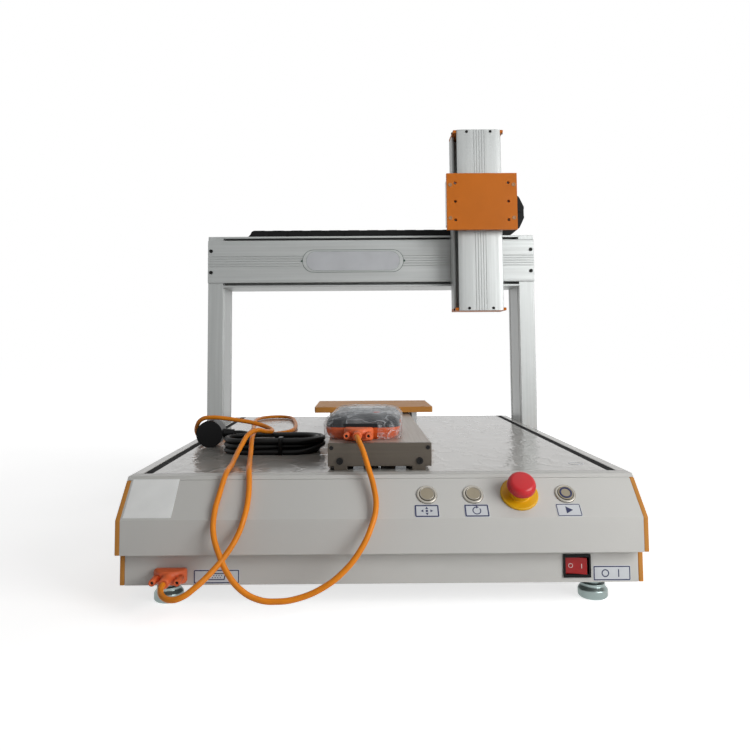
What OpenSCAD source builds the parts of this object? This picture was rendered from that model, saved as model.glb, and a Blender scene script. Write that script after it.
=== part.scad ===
// Desktop dispensing robot. A sheet metal base with a sloped control panel carries a portal and three
// sealed linear modules: X in the portal beam, Z on the X carriage, and Y as a low ridge on the table.
// Front is -Y, up is +Z, and the origin lies on the floor under the middle of the base.

/* [Base] */
// width of the base
base_w = 550; // [480:1:640]
// depth of the base
base_d = 695; // [660:1:780]
// height of the table top above the floor
table_z = 136; // [124:1:170]
// height of the levelling feet
foot_h = 27; // [20:1:36]
// diameter of the levelling feet
foot_d = 32; // [24:1:44]
// distance of the feet from the sides of the base
foot_in = 42; // [30:1:70]
// thickness of the side plates
side_t = 5; // [3:0.5:8]
// thickness of the table plate
table_t = 4; // [3:0.5:6]
// thickness of the folded panels
sheet = 2; // [1:0.5:3]
// horizontal run of the sloped panel
slope_run = 39; // [34:1:46]
// vertical rise of the sloped panel
slope_rise = 38; // [34:1:44]
// height of the fascia below the slope
fascia_h = 35.5; // [28:0.5:40]
// how far the plinth stands back from the fascia
plinth_in = 17.5; // [10:0.5:26]
// width of the black strips beside the table
strip_w = 9.6; // [6:0.2:14]
// distance from the side of the base to the strips
strip_in = 11.4; // [8:0.2:18]
// depth of the groove that holds each strip
strip_t = 2; // [1:0.5:2.5]

/* [Y axis] */
// width of the ridge cover
ridge_w = 117.4; // [104:0.2:130]
// height of the ridge cover above the table
ridge_h = 30.3; // [28:0.1:36]
// slot under the ridge cover
ridge_gap = 4.5; // [4:0.1:7]
// wall of the ridge cover
ridge_wall = 3; // [2:0.5:4]
// length of the ridge with its end plates
ridge_l = 600; // [520:1:620]
// distance from the fascia to the front of the ridge
ridge_y = 65.5; // [56:0.5:74]
// thickness of the ridge end plates
ridge_end_t = 6; // [4:0.5:10]
// width of the work plate
yplate_w = 192.4; // [170:0.2:220]
// length of the work plate
yplate_l = 139.6; // [120:0.2:160]
// thickness of the work plate
yplate_t = 8.9; // [6:0.1:12]
// gap between the ridge and the work plate
yplate_gap = 2.8; // [2:0.1:6]
// where the middle of the work plate stands at rest
yplate_y = 134; // [110:1:150]
// length of the carriage under the work plate
ycar_l = 104; // [80:1:116]

/* [Portal] */
// width of each column
col_w = 28; // [22:0.5:36]
// depth of each column
col_d = 92; // [80:0.5:104]
// distance from the back of the base to the front of the columns
portal_y = 140.5; // [128:0.5:152]
// height of the columns' lower end above the floor
col_z0 = 44; // [34:1:90]
// height of the portal above the table
portal_h = 347; // [320:1:380]
// height of the beam
beam_h = 95; // [90:0.5:104]
// thickness of the beam flanges
flange_t = 3.5; // [2.5:0.5:4.5]
// height of the beam cover
cover_h = 79; // [74:0.5:82]
// thickness of the beam cover
cover_t = 4; // [3:0.5:6]
// distance from the beam front to its web
web_in = 33; // [32:0.5:36]
// thickness of the beam web
web_t = 4; // [3:0.5:6]

/* [X axis] */
// where the carriage stands at rest
x_rest = 191; // [150:1:195]
// width of the X carriage
xcar_w = 84; // [70:1:88]
// thickness of the plate that carries the Z module
xplate_t = 9; // [6:0.5:10]
// gap between that plate and the beam cover
xplate_gap = 4; // [3:0.5:6]

/* [Z axis] */
// width of the Z module body
zbody_w = 88.8; // [84:0.2:96]
// depth of the Z module body
zbody_d = 52.5; // [51:0.1:58]
// wall of the Z module body
zbody_wall = 4; // [3:0.5:5]
// width of the Z module cover
zcover_w = 77.2; // [74:0.2:80]
// thickness of the Z module cover
zcover_t = 3.5; // [2.5:0.5:5]
// slot between the Z cover and the body
zslot = 4; // [3.6:0.1:6]
// height of the Z module
z_h = 322; // [310:1:350]
// height of the lower end of the Z module above the table
z_low = 202.5; // [180:0.5:220]
// thickness of the Z module end plates
zend_t = 5; // [4:0.5:8]
// width of the tool plate
tool_w = 121.8; // [116:0.2:140]
// height of the tool plate
tool_h = 98.7; // [90:0.1:110]
// thickness of the tool plate
tool_t = 8; // [6:0.5:10]
// height of the tool plate's lower edge above the table at rest
tool_z = 340.7; // [330:0.1:345]
// gap between the Z cover and the tool plate
tool_gap = 16; // [12:0.5:22]
// width between the two rows of tool holes
tool_hole_x = 92; // [80:0.5:96]
// height between tool holes
tool_hole_z = 32.4; // [26:0.1:38]
// diameter of the tool holes
tool_hole_d = 5; // [3:0.1:6]

/* [Drive] */
// width of the linear rails
rail_w = 12; // [9:0.5:14]
// height of the linear rails
rail_h = 8; // [6:0.5:9]
// running gap between rails and carriages
rail_gap = 0.3; // [0.2:0.05:0.6]
// radius at which the belts run on their pulleys
pulley_r = 6; // [5:0.1:7]
// thickness of the belts
belt_t = 1.5; // [1:0.1:2]
// width of the belts
belt_w = 8; // [6:0.5:9]
// diameter of the motor shafts and idler posts
shaft_d = 5; // [4:0.1:6]
// radial clearance of shafts in their bores
shaft_gap = 0.05; // [0.02:0.01:0.09]
// diameter of the Z screw
screw_d = 10; // [8:0.5:12]
// edge of the square motors
motor_w = 42; // [35:0.5:42.5]
// length of the motors
motor_l = 44; // [34:0.5:46]

/* [Drag chain] */
// width of the chain
chain_w = 22; // [14:0.5:24]
// thickness of the chain
chain_t = 16; // [8:0.5:18]
// outer radius of the chain's bend
chain_r = 48; // [34:0.5:52]
// length of one link
chain_pitch = 18; // [12:0.5:20]
// number of links in the lower run
chain_n = 26; // [22:1:34]

/* [Controls] */
// diameter of the push button flange
bezel_d = 22; // [20:0.5:24]
// diameter of the push button cap
cap_d = 16; // [13:0.2:16.4]
// travel of the push buttons
button_stroke = 2; // [1:0.5:3]
// distance between neighbouring controls
control_pitch = 49; // [44:0.5:52]
// where the first button stands
control_x = 48.5; // [40:0.5:56]
// distance of the controls up the slope
control_s = 28; // [26:0.5:30]
// diameter of the emergency stop ring
ring_d = 40; // [36:0.5:44]
// diameter of the emergency stop head
head_d = 30; // [26:0.5:34]
// travel of the emergency stop
stop_stroke = 4; // [2:0.5:5]
// width of the power switch
switch_w = 28.8; // [26:0.2:34]
// height of the power switch
switch_h = 23.8; // [20:0.2:26]
// where the power switch stands
switch_x = 205; // [190:1:215]

/* [Pendant] */
// width of the teach pendant
pend_w = 100; // [86:1:110]
// length of the teach pendant
pend_l = 150; // [130:1:165]
// thickness of each half of the pendant
pend_t = 14; // [10:0.5:18]
// width of the connector hoods
hood_w = 34; // [30:0.5:40]
// height of the connector hoods
hood_h = 15; // [12:0.5:18]
// length of the connector hoods
hood_l = 34; // [30:1:44]

/* [Leads] */
// diameter of the pendant cable
cable_d = 6; // [5:0.1:6.4]
// diameter of the mains lead
lead_d = 7; // [6:0.1:7.4]
// length of the folded mains lead
hank_l = 136; // [120:1:140]
// width of the folded mains lead
hank_w = 78; // [70:1:80]
// height of the folded mains lead
hank_h = 21; // [18:0.5:22]
// diameter of the mains plug
plug_d = 37; // [34:0.5:38]

/* [Hidden] */
$fn = 48;
orange = [0.76, 0.43, 0.17];
panel = [0.80, 0.79, 0.76];
alu = [0.78, 0.79, 0.79];
dark = [0.13, 0.13, 0.14];
steel = [0.62, 0.63, 0.65];

half_w = base_w / 2;
front_y = -base_d / 2;
back_y = base_d / 2;
slope_z = table_z - slope_rise;
fascia_z = slope_z - fascia_h;
plinth_y = front_y + plinth_in;
edge_y = front_y + slope_run;
slope_a = atan(slope_rise / slope_run);
under_z = table_z - table_t;
lip = table_t * slope_run / slope_rise;
inner_w = base_w - 2 * side_t;
foot_x = half_w - foot_in;
foot_front = 37;
foot_back = 55;
foot_y = [plinth_y + foot_front, back_y - foot_back];
stud_d = 10;
shaft_in = 12;
stud_gap = 0.2;
strip_y = edge_y + 17;
strip_l = back_y - 4 - strip_y;

ridge_front = front_y + ridge_y;
ridge_back = ridge_front + ridge_l;
ridge_top = table_z + ridge_h;
rail_x = 24;
block_w = 26;
yblock_h = 16;
ycar_t = 5;
wing_t = ridge_gap - 1.9;
wing_z = table_z + 1;
yplate_z = ridge_top + yplate_gap;
upright_w = 9;
upright_x = ridge_w / 2 + 4.3;
ybelt_z = table_z + 4;
pulley_room = 14;
ydrive_y = min(ridge_back - ridge_end_t - pulley_room - 4, back_y - sheet - motor_w / 2 - 5);
yidle_y = ridge_front + ridge_end_t + pulley_room;

col_y = back_y - portal_y;
portal_top = table_z + portal_h;
beam_z = portal_top - beam_h;
cover_z = beam_z + (beam_h - cover_h) / 2;
cover_y = col_y - cover_t;
web_y = col_y + web_in;
beam_slot = (beam_h - cover_h) / 2 - flange_t;
arm_t = beam_slot - 1.5;
beam_mid = beam_z + beam_h / 2;
xrail_z = beam_mid - 20;
xbelt_z = beam_mid + 17.5;
xbelt_y = web_y - 13;
xdrive_x = half_w - 25;
xidle_x = half_w - 20;
xin_y = xbelt_y - 8;
xin_t = 6;
col_x = half_w + col_w;

xplate_y = cover_y - xplate_gap - xplate_t;
zbody_y = xplate_y - zbody_d;
zslot_y = zbody_y - zslot;
zcover_y = zslot_y - zcover_t;
z_bot = table_z + z_low;
z_top = z_bot + z_h;
zin_w = zbody_w - 2 * zbody_wall;
zrail_y = xplate_y - zbody_wall - rail_h;
screw_y = zrail_y - 16;
zmotor_z = z_top - zend_t - 1 - motor_l;
coupling_d = 18;
coupling_l = 20;
coupling_z = zmotor_z - coupling_l - 6;
zcar_in = 9;
ztop_room = 18;
tool_bot = min(table_z + tool_z, coupling_z - ztop_room - tool_h + zcar_in);
zcar_z = tool_bot + zcar_in;
zcar_h = tool_h - 2 * zcar_in;
tool_y = zcover_y - tool_gap - tool_t;
zarm_t = 10.5;
zarm_x = tool_w / 2 - 1 - zarm_t;
zwing_t = zslot - 1.4;
zend_block = 14;
rail_clear = 4;
journal_d = 8;

cover_edge = 4;
zcover_edge = 8;
zside_in = 18;
groove_pitch = 4.6;
groove_w = 1.3;

chain_in = 38;
chain_y = col_y + chain_in;
chain_x0 = -221;
chain_x1 = chain_x0 + chain_n * chain_pitch;
chain_gap = 0.5;
chain_mid = portal_top + chain_gap + chain_r;
chain_up = chain_mid + chain_r - chain_t;
bend_n = 7;
bend_a = 180 / bend_n;
bend_r = chain_r - chain_t / 2;
bend_l = 2 * bend_r * sin(bend_a / 2);
upper_n = 3;
link_t = 2;
link_in = link_t + 0.3;
bar_w = 11;
bar_t = 2;
pin_d = 5;
chain_foot = 28;
chain_foot_t = 2.5;
pin_out = 0.4;
bracket_w = 30;
bracket_t = 3;
bracket_off = 6;
bracket_x = x_rest + bracket_off;

bezel_t = 2;
cap_gap = 0.3;
estop_x = control_x + 2 * control_pitch;
start_x = control_x + 3 * control_pitch;
reset_x = control_x + control_pitch;
ring_t = 3;
stem_d = 14;
head_z = 8 + stop_stroke;
head_h = 12;
switch_z = foot_h + 17.2;
rock_w = switch_w - 6.8;
rock_h = switch_h - 7;
rock_pin = 3;
rock_tilt = 12;
rock_in = 4;
port_x = -220;
port_z = foot_h + 12;
port_pitch = 25;
stem_in = 16;
thumb_d = 6.5;
thumb_l = 11;
inlet_x = 170;
inlet_w = 48;
inlet_h = 28;
vent_x = 150;
vent_pitch = 12;
vent_h = 40;
inlet_z = 82;
inlet_flange = 4.75;

pend_in = 106;
pend_at = [-15, ridge_front + pend_in];
pend_yaw = -4;
pend_waist = 7;
pend_draft = 6;
pend_round = 0.42;
hank_at = [-137, -128];
plug_at = [-234, -76];
plug_l = 30;
plug_boot = 14;
hank_t = 14;
conn_w = 24;
conn_h = 19;
conn_l = 32;
conn_boot = 30;
conn_slot = 16;
conn_in = [32, 12];
conn_at = hank_at - conn_in;

// cable route from the port hood, over the hank, round the back of the table and down to the pendant
cable_pts = [
    [-220, -365, 39], [-219.5, -374, 38], [-215, -384, 34.5], [-205, -390, 33], [-194, -391, 36],
    [-183, -387, 43], [-173, -380, 51], [-158, -368, 67], [-147, -358, 84.5], [-141.5, -350, 101],
    [-140, -338, 113.5], [-141, -322, 129], [-144, -305, 141.5], [-148, -280, 140.4], [-152, -250, 139.4],
    [-156, -222, 140.4], [-158, -203, 146], [-160, -184, 157], [-162, -163, 160.6], [-166, -125, 160.6],
    [-171, -90, 160.4], [-179, -52, 156], [-185, -13, 149.5], [-190, 27, 146.4], [-196, 66, 142.6],
    [-203, 110, 139.4], [-211, 165, 139.4], [-217, 220, 139.4], [-218, 268, 139.4], [-207, 302, 139.4],
    [-186, 315, 139.4], [-165, 304, 139.4], [-152, 272, 139.4], [-143, 220, 139.4], [-136, 165, 139.4],
    [-133, 115, 139.4], [-136, 75, 139.4], [-147, 47, 139.4], [-166, 32, 139.4], [-190, 26, 139.4],
    [-215, 18, 139.4], [-238, 0, 139.4], [-253, -24, 140], [-260, -48, 149], [-257, -66, 164],
    [-247, -76, 174.5], [-234, -79, 176.8], [-214, -80, 175.4], [-193, -81, 172.5], [-172, -84, 169],
    [-156, -91, 165], [-145, -104, 162], [-143, -121, 161.6], [-148, -142, 164], [-156, -162, 168],
    [-164, -182, 165.5], [-170, -203, 153.5], [-173, -229, 142.6], [-171, -262, 139.6], [-168, -294, 141],
    [-168, -313, 138], [-171, -330, 121], [-173, -346, 104.5], [-171, -359, 86], [-163, -368, 68],
    [-154, -374, 53], [-140, -379, 38.5], [-122, -381, 29.5], [-104, -381, 27.6], [-84, -380, 30],
    [-60, -378, 39], [-40, -374, 52.5], [-23, -367, 71], [-11, -358, 93], [-6, -346, 110],
    [-8, -331, 127.5], [-14, -317, 147], [-20, -305, 164], [-24.5, -295, 172.5], [-25.6, -285, 174]
];
// mains lead from the hank to the plug
lead_pts = [
    [-166, -92.5, 153.5], [-172, -91.6, 153.5], [-179, -87.6, 153.8], [-185, -82, 154.2],
    [-191, -77.6, 154.5], [-196, -76, 154.5], [-201.2, -76, 154.5]
];

// a flat outline in Y and Z, drawn out along X
module along_x(x0, len) {
    translate([x0, 0, 0]) rotate([90, 0, 90]) linear_extrude(len) children();
}

// a flat outline in X and Z, drawn out along Y
module along_y(y0, len) {
    translate([0, y0 + len, 0]) rotate([90, 0, 0]) linear_extrude(len) children();
}

// a flat outline in X and Y, drawn out along Z
module along_z(z0, len) {
    translate([0, 0, z0]) linear_extrude(len) children();
}

// a rectangle from its lower left corner to its upper right one
module rect(x0, y0, x1, y1) {
    translate([x0, y0]) square([x1 - x0, y1 - y0]);
}

// the same rectangle on both sides of the middle
module rect_pair(x0, y0, x1, y1) {
    rect(x0, y0, x1, y1);
    rect(-x1, y0, -x0, y1);
}

// a place on the sloped panel: x across, s up the slope, local z pointing out of the panel
module on_slope(x, s) {
    translate([x, front_y + s * cos(slope_a), slope_z + s * sin(slope_a)])
        rotate([slope_a, 0, 0]) children();
}

// a rectangle with round corners
module round_rect(w, h, r) {
    square([w - 2 * r, h], center = true);
    square([w, h - 2 * r], center = true);
    for (x = [-1, 1], y = [-1, 1]) translate([x * (w / 2 - r), y * (h / 2 - r)]) circle(r);
}

// base

module side_plate(x0) {
    color(orange) along_x(x0, side_t) polygon([
        [plinth_y, foot_h], [plinth_y, fascia_z], [front_y, fascia_z], [front_y, slope_z],
        [edge_y - lip, under_z], [back_y, under_z], [back_y, foot_h]
    ]);
}

module side_plate_left() { side_plate(-half_w); }

module side_plate_right() { side_plate(half_w - side_t); }

module front_panel() {
    color(panel) difference() {
        along_x(-inner_w / 2, inner_w) polygon([
            [plinth_y, fascia_z], [front_y, fascia_z], [front_y, slope_z], [edge_y - lip, under_z],
            [edge_y - lip + sheet / sin(slope_a), under_z],
            [front_y + sheet, slope_z + sheet * tan(slope_a) - sheet / cos(slope_a)],
            [front_y + sheet, fascia_z + sheet], [plinth_y, fascia_z + sheet]
        ]);
        for (x = [control_x, reset_x, start_x])
            on_slope(x, control_s) translate([0, 0, -10]) cylinder(d = bezel_d - 2.8, h = 20);
        on_slope(estop_x, control_s) translate([0, 0, -10]) cylinder(d = stem_d + 6.4, h = 20);
    }
}

module plinth_panel() {
    color(panel) difference() {
        along_x(-inner_w / 2, inner_w) rect(plinth_y, foot_h, plinth_y + sheet, fascia_z + sheet);
        along_y(plinth_y - 1, sheet + 2) {
            translate([switch_x, switch_z]) square([switch_w - 2.4, switch_h - 2.4], center = true);
            translate([port_x, port_z]) square([20, 11], center = true);
        }
    }
}

module rear_panel() {
    color(panel) difference() {
        along_x(-inner_w / 2, inner_w) rect(back_y - sheet, foot_h, back_y, under_z);
        along_y(back_y - sheet - 1, sheet + 2) {
            translate([inlet_x, inlet_z]) square([28, 21], center = true);
            for (i = [0:6]) translate([-vent_x - i * vent_pitch, inlet_z]) round_rect(4, vent_h, 1.9);
        }
    }
}

module base_pan() {
    color(panel) difference() {
        along_x(-inner_w / 2, inner_w)
            rect(plinth_y + sheet, foot_h, back_y - sheet, foot_h + sheet);
        for (x = [-foot_x, foot_x], y = foot_y)
            translate([x, y, foot_h - 1]) cylinder(d = stud_d + 2 * stud_gap, h = sheet + 2);
    }
}

module table_plate() {
    color([0.66, 0.65, 0.62]) difference() {
        along_x(-half_w, base_w) polygon([
            [edge_y - lip, under_z], [edge_y, table_z], [back_y, table_z], [back_y, under_z]
        ]);
        along_z(table_z - strip_t, strip_t + 1)
            rect_pair(half_w - strip_in - strip_w, strip_y, half_w - strip_in, strip_y + strip_l);
        translate([0, ydrive_y, under_z - 1]) cylinder(d = 22.6, h = table_t + 2);
    }
}

module slot_strips() {
    color(dark) along_z(table_z - strip_t, strip_t - 0.4)
        rect_pair(half_w - strip_in - strip_w, strip_y, half_w - strip_in, strip_y + strip_l);
}

module levelling_feet() {
    r = foot_d / 2;
    color(steel) for (x = [-foot_x, foot_x], y = foot_y) translate([x, y, 0]) rotate_extrude() polygon([
        [0, 0], [r - 2, 0], [r, 2], [r, 9], [r - 3, 13], [r - 3, 16], [stud_d / 2 + 4, 16],
        [stud_d / 2 + 4, foot_h], [stud_d / 2, foot_h], [stud_d / 2, foot_h + 9], [0, foot_h + 9]
    ]);
}

// Y axis

module ridge_cover() {
    color(panel) along_y(ridge_front + ridge_end_t, ridge_l - 2 * ridge_end_t) difference() {
        rect(-ridge_w / 2, table_z + ridge_gap, ridge_w / 2, ridge_top);
        rect(-ridge_w / 2 + ridge_wall, table_z, ridge_w / 2 - ridge_wall, ridge_top - ridge_wall);
    }
}

module ridge_end_plates() {
    color([0.32, 0.30, 0.27]) for (y = [ridge_front, ridge_back - ridge_end_t]) along_y(y, ridge_end_t) {
        rect(-ridge_w / 2, table_z + ridge_gap, ridge_w / 2, ridge_top);
        rect_pair(ridge_w / 2 - 22, table_z, ridge_w / 2 - 7, table_z + ridge_gap);
    }
}

// rail profile standing on y = 0
module rail_profile() {
    polygon([
        [-rail_w / 2, 0], [rail_w / 2, 0], [rail_w / 2, rail_h * 0.35], [rail_w / 2 - 1, rail_h * 0.5],
        [rail_w / 2, rail_h * 0.7], [rail_w / 2, rail_h], [-rail_w / 2, rail_h], [-rail_w / 2, rail_h * 0.7],
        [-rail_w / 2 + 1, rail_h * 0.5], [-rail_w / 2, rail_h * 0.35]
    ]);
}

// clearance that a carriage keeps round a rail
module rail_room() {
    rect(-rail_w / 2 - rail_gap, -5, rail_w / 2 + rail_gap, rail_h + rail_gap);
}

module y_rails() {
    color(steel) {
        along_y(ridge_front + ridge_end_t, ydrive_y - pulley_room - ridge_front - ridge_end_t)
            for (x = [-rail_x, rail_x]) translate([x, table_z]) rail_profile();
        translate([0, yidle_y, table_z]) cylinder(d = shaft_d, h = belt_w + 8);
    }
}

module y_slider() {
    color(alu) {
        along_y(yplate_y - ycar_l / 2, ycar_l) difference() {
            union() {
                rect(-ridge_w / 2 + ridge_wall + 8, table_z + yblock_h + 1,
                     ridge_w / 2 - ridge_wall - 8, table_z + yblock_h + 1 + ycar_t);
                rect_pair(rail_x - block_w / 2, wing_z, rail_x + block_w / 2, table_z + yblock_h + 1);
                rect_pair(ridge_w / 2 - ridge_wall - 14, wing_z,
                          ridge_w / 2 - ridge_wall - 8, table_z + yblock_h + 1 + ycar_t);
                rect_pair(ridge_w / 2 - ridge_wall - 8, wing_z, upright_x + upright_w, wing_z + wing_t);
                rect_pair(upright_x, wing_z, upright_x + upright_w, yplate_z);
            }
            for (x = [-rail_x, rail_x]) translate([x, table_z]) rail_room();
        }
        along_y(yplate_y - 12, 24) difference() {
            rect(pulley_r - 2, ybelt_z - 1, pulley_r + belt_t + 2, table_z + yblock_h + 1);
            rect(pulley_r - rail_gap, ybelt_z - 2,
                 pulley_r + belt_t + rail_gap, ybelt_z + belt_w + rail_gap);
        }
    }
}

module y_plate() {
    color(orange) difference() {
        translate([0, yplate_y, yplate_z]) linear_extrude(yplate_t) round_rect(yplate_w, yplate_l, 3);
        for (x = [-1, 1], y = [-1, 1])
            translate([x * (yplate_w / 2 - 14), yplate_y + y * (yplate_l / 2 - 14), yplate_z - 1])
                cylinder(d = 5, h = yplate_t + 2);
    }
}

// flat outline of a belt round two pulleys, in its own plane from x = 0 to x = len
module belt_outline(len, grow = 0) {
    r = pulley_r + grow;
    rect(0, -r, len, r);
    for (x = [0, len]) translate([x, 0]) circle(r);
}

module belt_loop(len) {
    linear_extrude(belt_w) difference() {
        belt_outline(len, belt_t);
        belt_outline(len);
    }
}

// toothed pulley body with a flange at each end, bored where a post carries it
module pulley(bore = 0) {
    difference() {
        rotate_extrude() polygon([
            [0, -1], [pulley_r + 2, -1], [pulley_r + 2, 0], [pulley_r - 0.05, 0], [pulley_r - 0.05, belt_w],
            [pulley_r + 2, belt_w], [pulley_r + 2, belt_w + 1], [0, belt_w + 1]
        ]);
        if (bore > 0) translate([0, 0, -2]) cylinder(d = bore, h = belt_w + 4);
    }
}

module y_belt() {
    color(dark) translate([0, yidle_y, ybelt_z]) rotate([0, 0, 90]) belt_loop(ydrive_y - yidle_y);
}

module y_drive_pulley() {
    color(alu) translate([0, ydrive_y, ybelt_z]) {
        pulley();
        translate([0, 0, under_z - shaft_in - ybelt_z])
            cylinder(d = shaft_d, h = ybelt_z - under_z + shaft_in);
    }
}

module y_idler_pulley() {
    color(alu) translate([0, yidle_y, ybelt_z]) pulley(shaft_d + 2 * shaft_gap);
}

// square stepper motor with its face at z = 0 and its body below, bored for the shaft
module motor(boss = 2) {
    c = 4;
    w = motor_w / 2;
    difference() {
        union() {
            translate([0, 0, -motor_l]) linear_extrude(motor_l) polygon([
                [w - c, -w], [w, c - w], [w, w - c], [w - c, w],
                [c - w, w], [-w, w - c], [-w, c - w], [c - w, -w]
            ]);
            cylinder(d = 22, h = boss);
        }
        translate([0, 0, -shaft_in - 6]) cylinder(d = shaft_d + 2 * shaft_gap, h = shaft_in + 16);
    }
}

module stepper_motors() {
    color(dark) {
        translate([0, ydrive_y, under_z]) motor();
        translate([-xdrive_x, web_y + web_t, xbelt_z]) rotate([90, 0, 0]) motor();
    }
}

// portal

module column(x0, inner) {
    color(alu) difference() {
        along_z(col_z0, portal_top - col_z0) difference() {
            rect(x0, col_y, x0 + col_w, col_y + col_d);
            for (y = [col_y + 12, col_y + col_d - 12])
                translate([inner, y]) square([3, 4], center = true);
        }
        along_z(col_z0 - 1, portal_top - col_z0 - 3)
            rect(x0 + 5, col_y + 5, x0 + col_w - 5, col_y + col_d - 5);
    }
}

module column_left() { column(-col_x, -half_w); }

module column_right() { column(half_w, half_w); }

module beam_body() {
    color(alu) {
        difference() {
            along_x(-half_w, base_w) difference() {
                rect(col_y, beam_z, col_y + col_d, portal_top);
                rect(col_y - 1, beam_z + flange_t, web_y, portal_top - flange_t);
                rect(web_y + web_t, beam_z + flange_t, col_y + col_d - web_t, portal_top - flange_t);
            }
            translate([-xdrive_x, web_y - 1, xbelt_z]) rotate([-90, 0, 0]) cylinder(d = 22.6, h = web_t + 2);
        }
        translate([xidle_x, web_y + web_t / 2, xbelt_z]) rotate([90, 0, 0])
            cylinder(d = shaft_d, h = web_t / 2 + web_y - xbelt_y + 3);
    }
}

module beam_cover() {
    color(alu) along_x(-col_x, 2 * col_x) difference() {
        polygon([
            [col_y, cover_z], [cover_y + 1, cover_z], [cover_y, cover_z + cover_edge],
            [cover_y, cover_z + cover_h - cover_edge], [cover_y + 1, cover_z + cover_h],
            [col_y, cover_z + cover_h]
        ]);
        for (i = [-2:2]) translate([cover_y, beam_mid + i * groove_pitch])
            square([1.4, groove_w], center = true);
    }
}

module screw_head(d = 8, h = 3) {
    difference() {
        cylinder(d = d, h = h);
        translate([0, 0, h / 2]) cylinder(d = d * 0.55, h = h, $fn = 6);
    }
}

module frame_screws() {
    color(dark) {
        for (x = [-1, 1], z = [-1, 1])
            translate([x * (col_x - 6), cover_y, beam_mid + z * 20]) rotate([90, 0, 0]) screw_head(6.5, 2);
        for (x = [-1, 1]) {
            translate([x * (ridge_w / 2 - 4), ridge_front, ridge_top - 5])
                rotate([90, 0, 0]) screw_head(4.6, 1.2);
            translate([x * (ridge_w / 2 - 13.5), ridge_front, table_z + ridge_gap + 6])
                rotate([90, 0, 0]) screw_head(7.6, 2.5);
        }
    }
}

module x_rail() {
    color(steel) along_x(-half_w + 8, base_w - 16)
        translate([web_y, xrail_z]) rotate(90) rail_profile();
}

module x_slider() {
    z0 = beam_z + flange_t + 0.75;
    z1 = portal_top - flange_t - 0.75;
    color(alu) {
        along_x(x_rest - xcar_w / 2, xcar_w) difference() {
            union() {
                rect(xin_y, z0, xin_y + xin_t, z1);
                rect(xin_y, xrail_z - block_w / 2, web_y - 1, xrail_z + block_w / 2);
                rect(xplate_y + xplate_t, z0, xin_y, z0 + arm_t);
                rect(xplate_y + xplate_t, z1 - arm_t, xin_y, z1);
            }
            translate([web_y, xrail_z]) rotate(90) rail_room();
        }
        along_x(x_rest - 12, 24) difference() {
            rect(xin_y + xin_t - 1, xbelt_z + pulley_r - 2,
                 xbelt_y + belt_w + 1, xbelt_z + pulley_r + belt_t + 2);
            rect(xbelt_y - rail_gap, xbelt_z + pulley_r - rail_gap,
                 xbelt_y + belt_w + 2, xbelt_z + pulley_r + belt_t + rail_gap);
        }
    }
}

module x_plate() {
    color(alu) along_x(x_rest - zbody_w / 2 + 2, zbody_w - 4)
        rect(xplate_y, beam_z + flange_t + 0.75, xplate_y + xplate_t, portal_top - flange_t - 0.75);
}

module x_belt() {
    color(dark) translate([-xdrive_x, xbelt_y + belt_w, xbelt_z]) rotate([90, 0, 0])
        belt_loop(xdrive_x + xidle_x);
}

module x_drive_pulley() {
    color(alu) translate([-xdrive_x, xbelt_y + belt_w, xbelt_z]) rotate([90, 0, 0]) {
        pulley();
        reach = web_y + web_t + shaft_in - xbelt_y - belt_w;
        translate([0, 0, -reach]) cylinder(d = shaft_d, h = reach);
    }
}

module x_idler_pulley() {
    color(alu) translate([xidle_x, xbelt_y + belt_w, xbelt_z]) rotate([90, 0, 0])
        pulley(shaft_d + 2 * shaft_gap);
}

// Z module

module z_body() {
    w = zbody_w / 2;
    color(alu) translate([x_rest, 0, 0]) along_z(z_bot + zend_t, z_h - 2 * zend_t) difference() {
        rect(-w, zbody_y, w, xplate_y);
        rect(-zin_w / 2, zbody_y - 1, zin_w / 2, xplate_y - zbody_wall);
        rect_pair(zin_w / 2 - 1, zbody_y - 1, w + 1, zbody_y + zside_in);
        for (x = [-w, w], y = [8, 20]) translate([x, zbody_y + zside_in + y])
            square([2, 2.4], center = true);
    }
}

module z_cover() {
    color(alu) translate([x_rest, 0, 0]) along_z(z_bot, z_h) difference() {
        polygon([
            [-zcover_w / 2, zslot_y], [-zcover_w / 2, zcover_y + 1.5],
            [-zcover_w / 2 + zcover_edge, zcover_y], [zcover_w / 2 - zcover_edge, zcover_y],
            [zcover_w / 2, zcover_y + 1.5], [zcover_w / 2, zslot_y]
        ]);
        for (i = [-2:2]) translate([i * groove_pitch, zcover_y]) square([groove_w, 1.4], center = true);
    }
}

module z_end_plates() {
    color(orange) translate([x_rest, 0, 0]) {
        for (z = [z_bot, z_top - zend_t])
            along_z(z, zend_t) rect(-zbody_w / 2, zslot_y, zbody_w / 2, xplate_y);
        along_z(z_top - zend_t - 1, 1) rect(-zin_w / 2, zslot_y, zin_w / 2, screw_y + 20);
        difference() {
            along_z(z_bot + zend_t, zend_block) rect(-30, zslot_y, 30, screw_y + 8);
            translate([0, screw_y, z_bot + zend_t])
                cylinder(d = journal_d + 2 * shaft_gap, h = zend_block + 1);
        }
    }
}

module z_motor() {
    color(dark) translate([x_rest, screw_y, zmotor_z]) rotate([180, 0, 0]) motor();
}

module z_rail() {
    low = z_bot + zend_t + zend_block;
    color(steel) along_z(low, coupling_z - rail_clear - low)
        translate([x_rest, zrail_y + rail_h]) rotate(180) rail_profile();
}

module z_screw() {
    low = z_bot + zend_t + zend_block;
    grip = 2;
    color(steel) translate([x_rest, screw_y, 0]) {
        translate([0, 0, low - zend_block + grip]) cylinder(d = journal_d, h = zend_block);
        translate([0, 0, low + rail_gap]) cylinder(d = screw_d, h = coupling_z + grip - low);
        translate([0, 0, coupling_z]) cylinder(d = coupling_d, h = coupling_l);
        translate([0, 0, coupling_z + coupling_l / 2])
            cylinder(d = shaft_d, h = zmotor_z + shaft_in - coupling_z - coupling_l / 2);
    }
}

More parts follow.
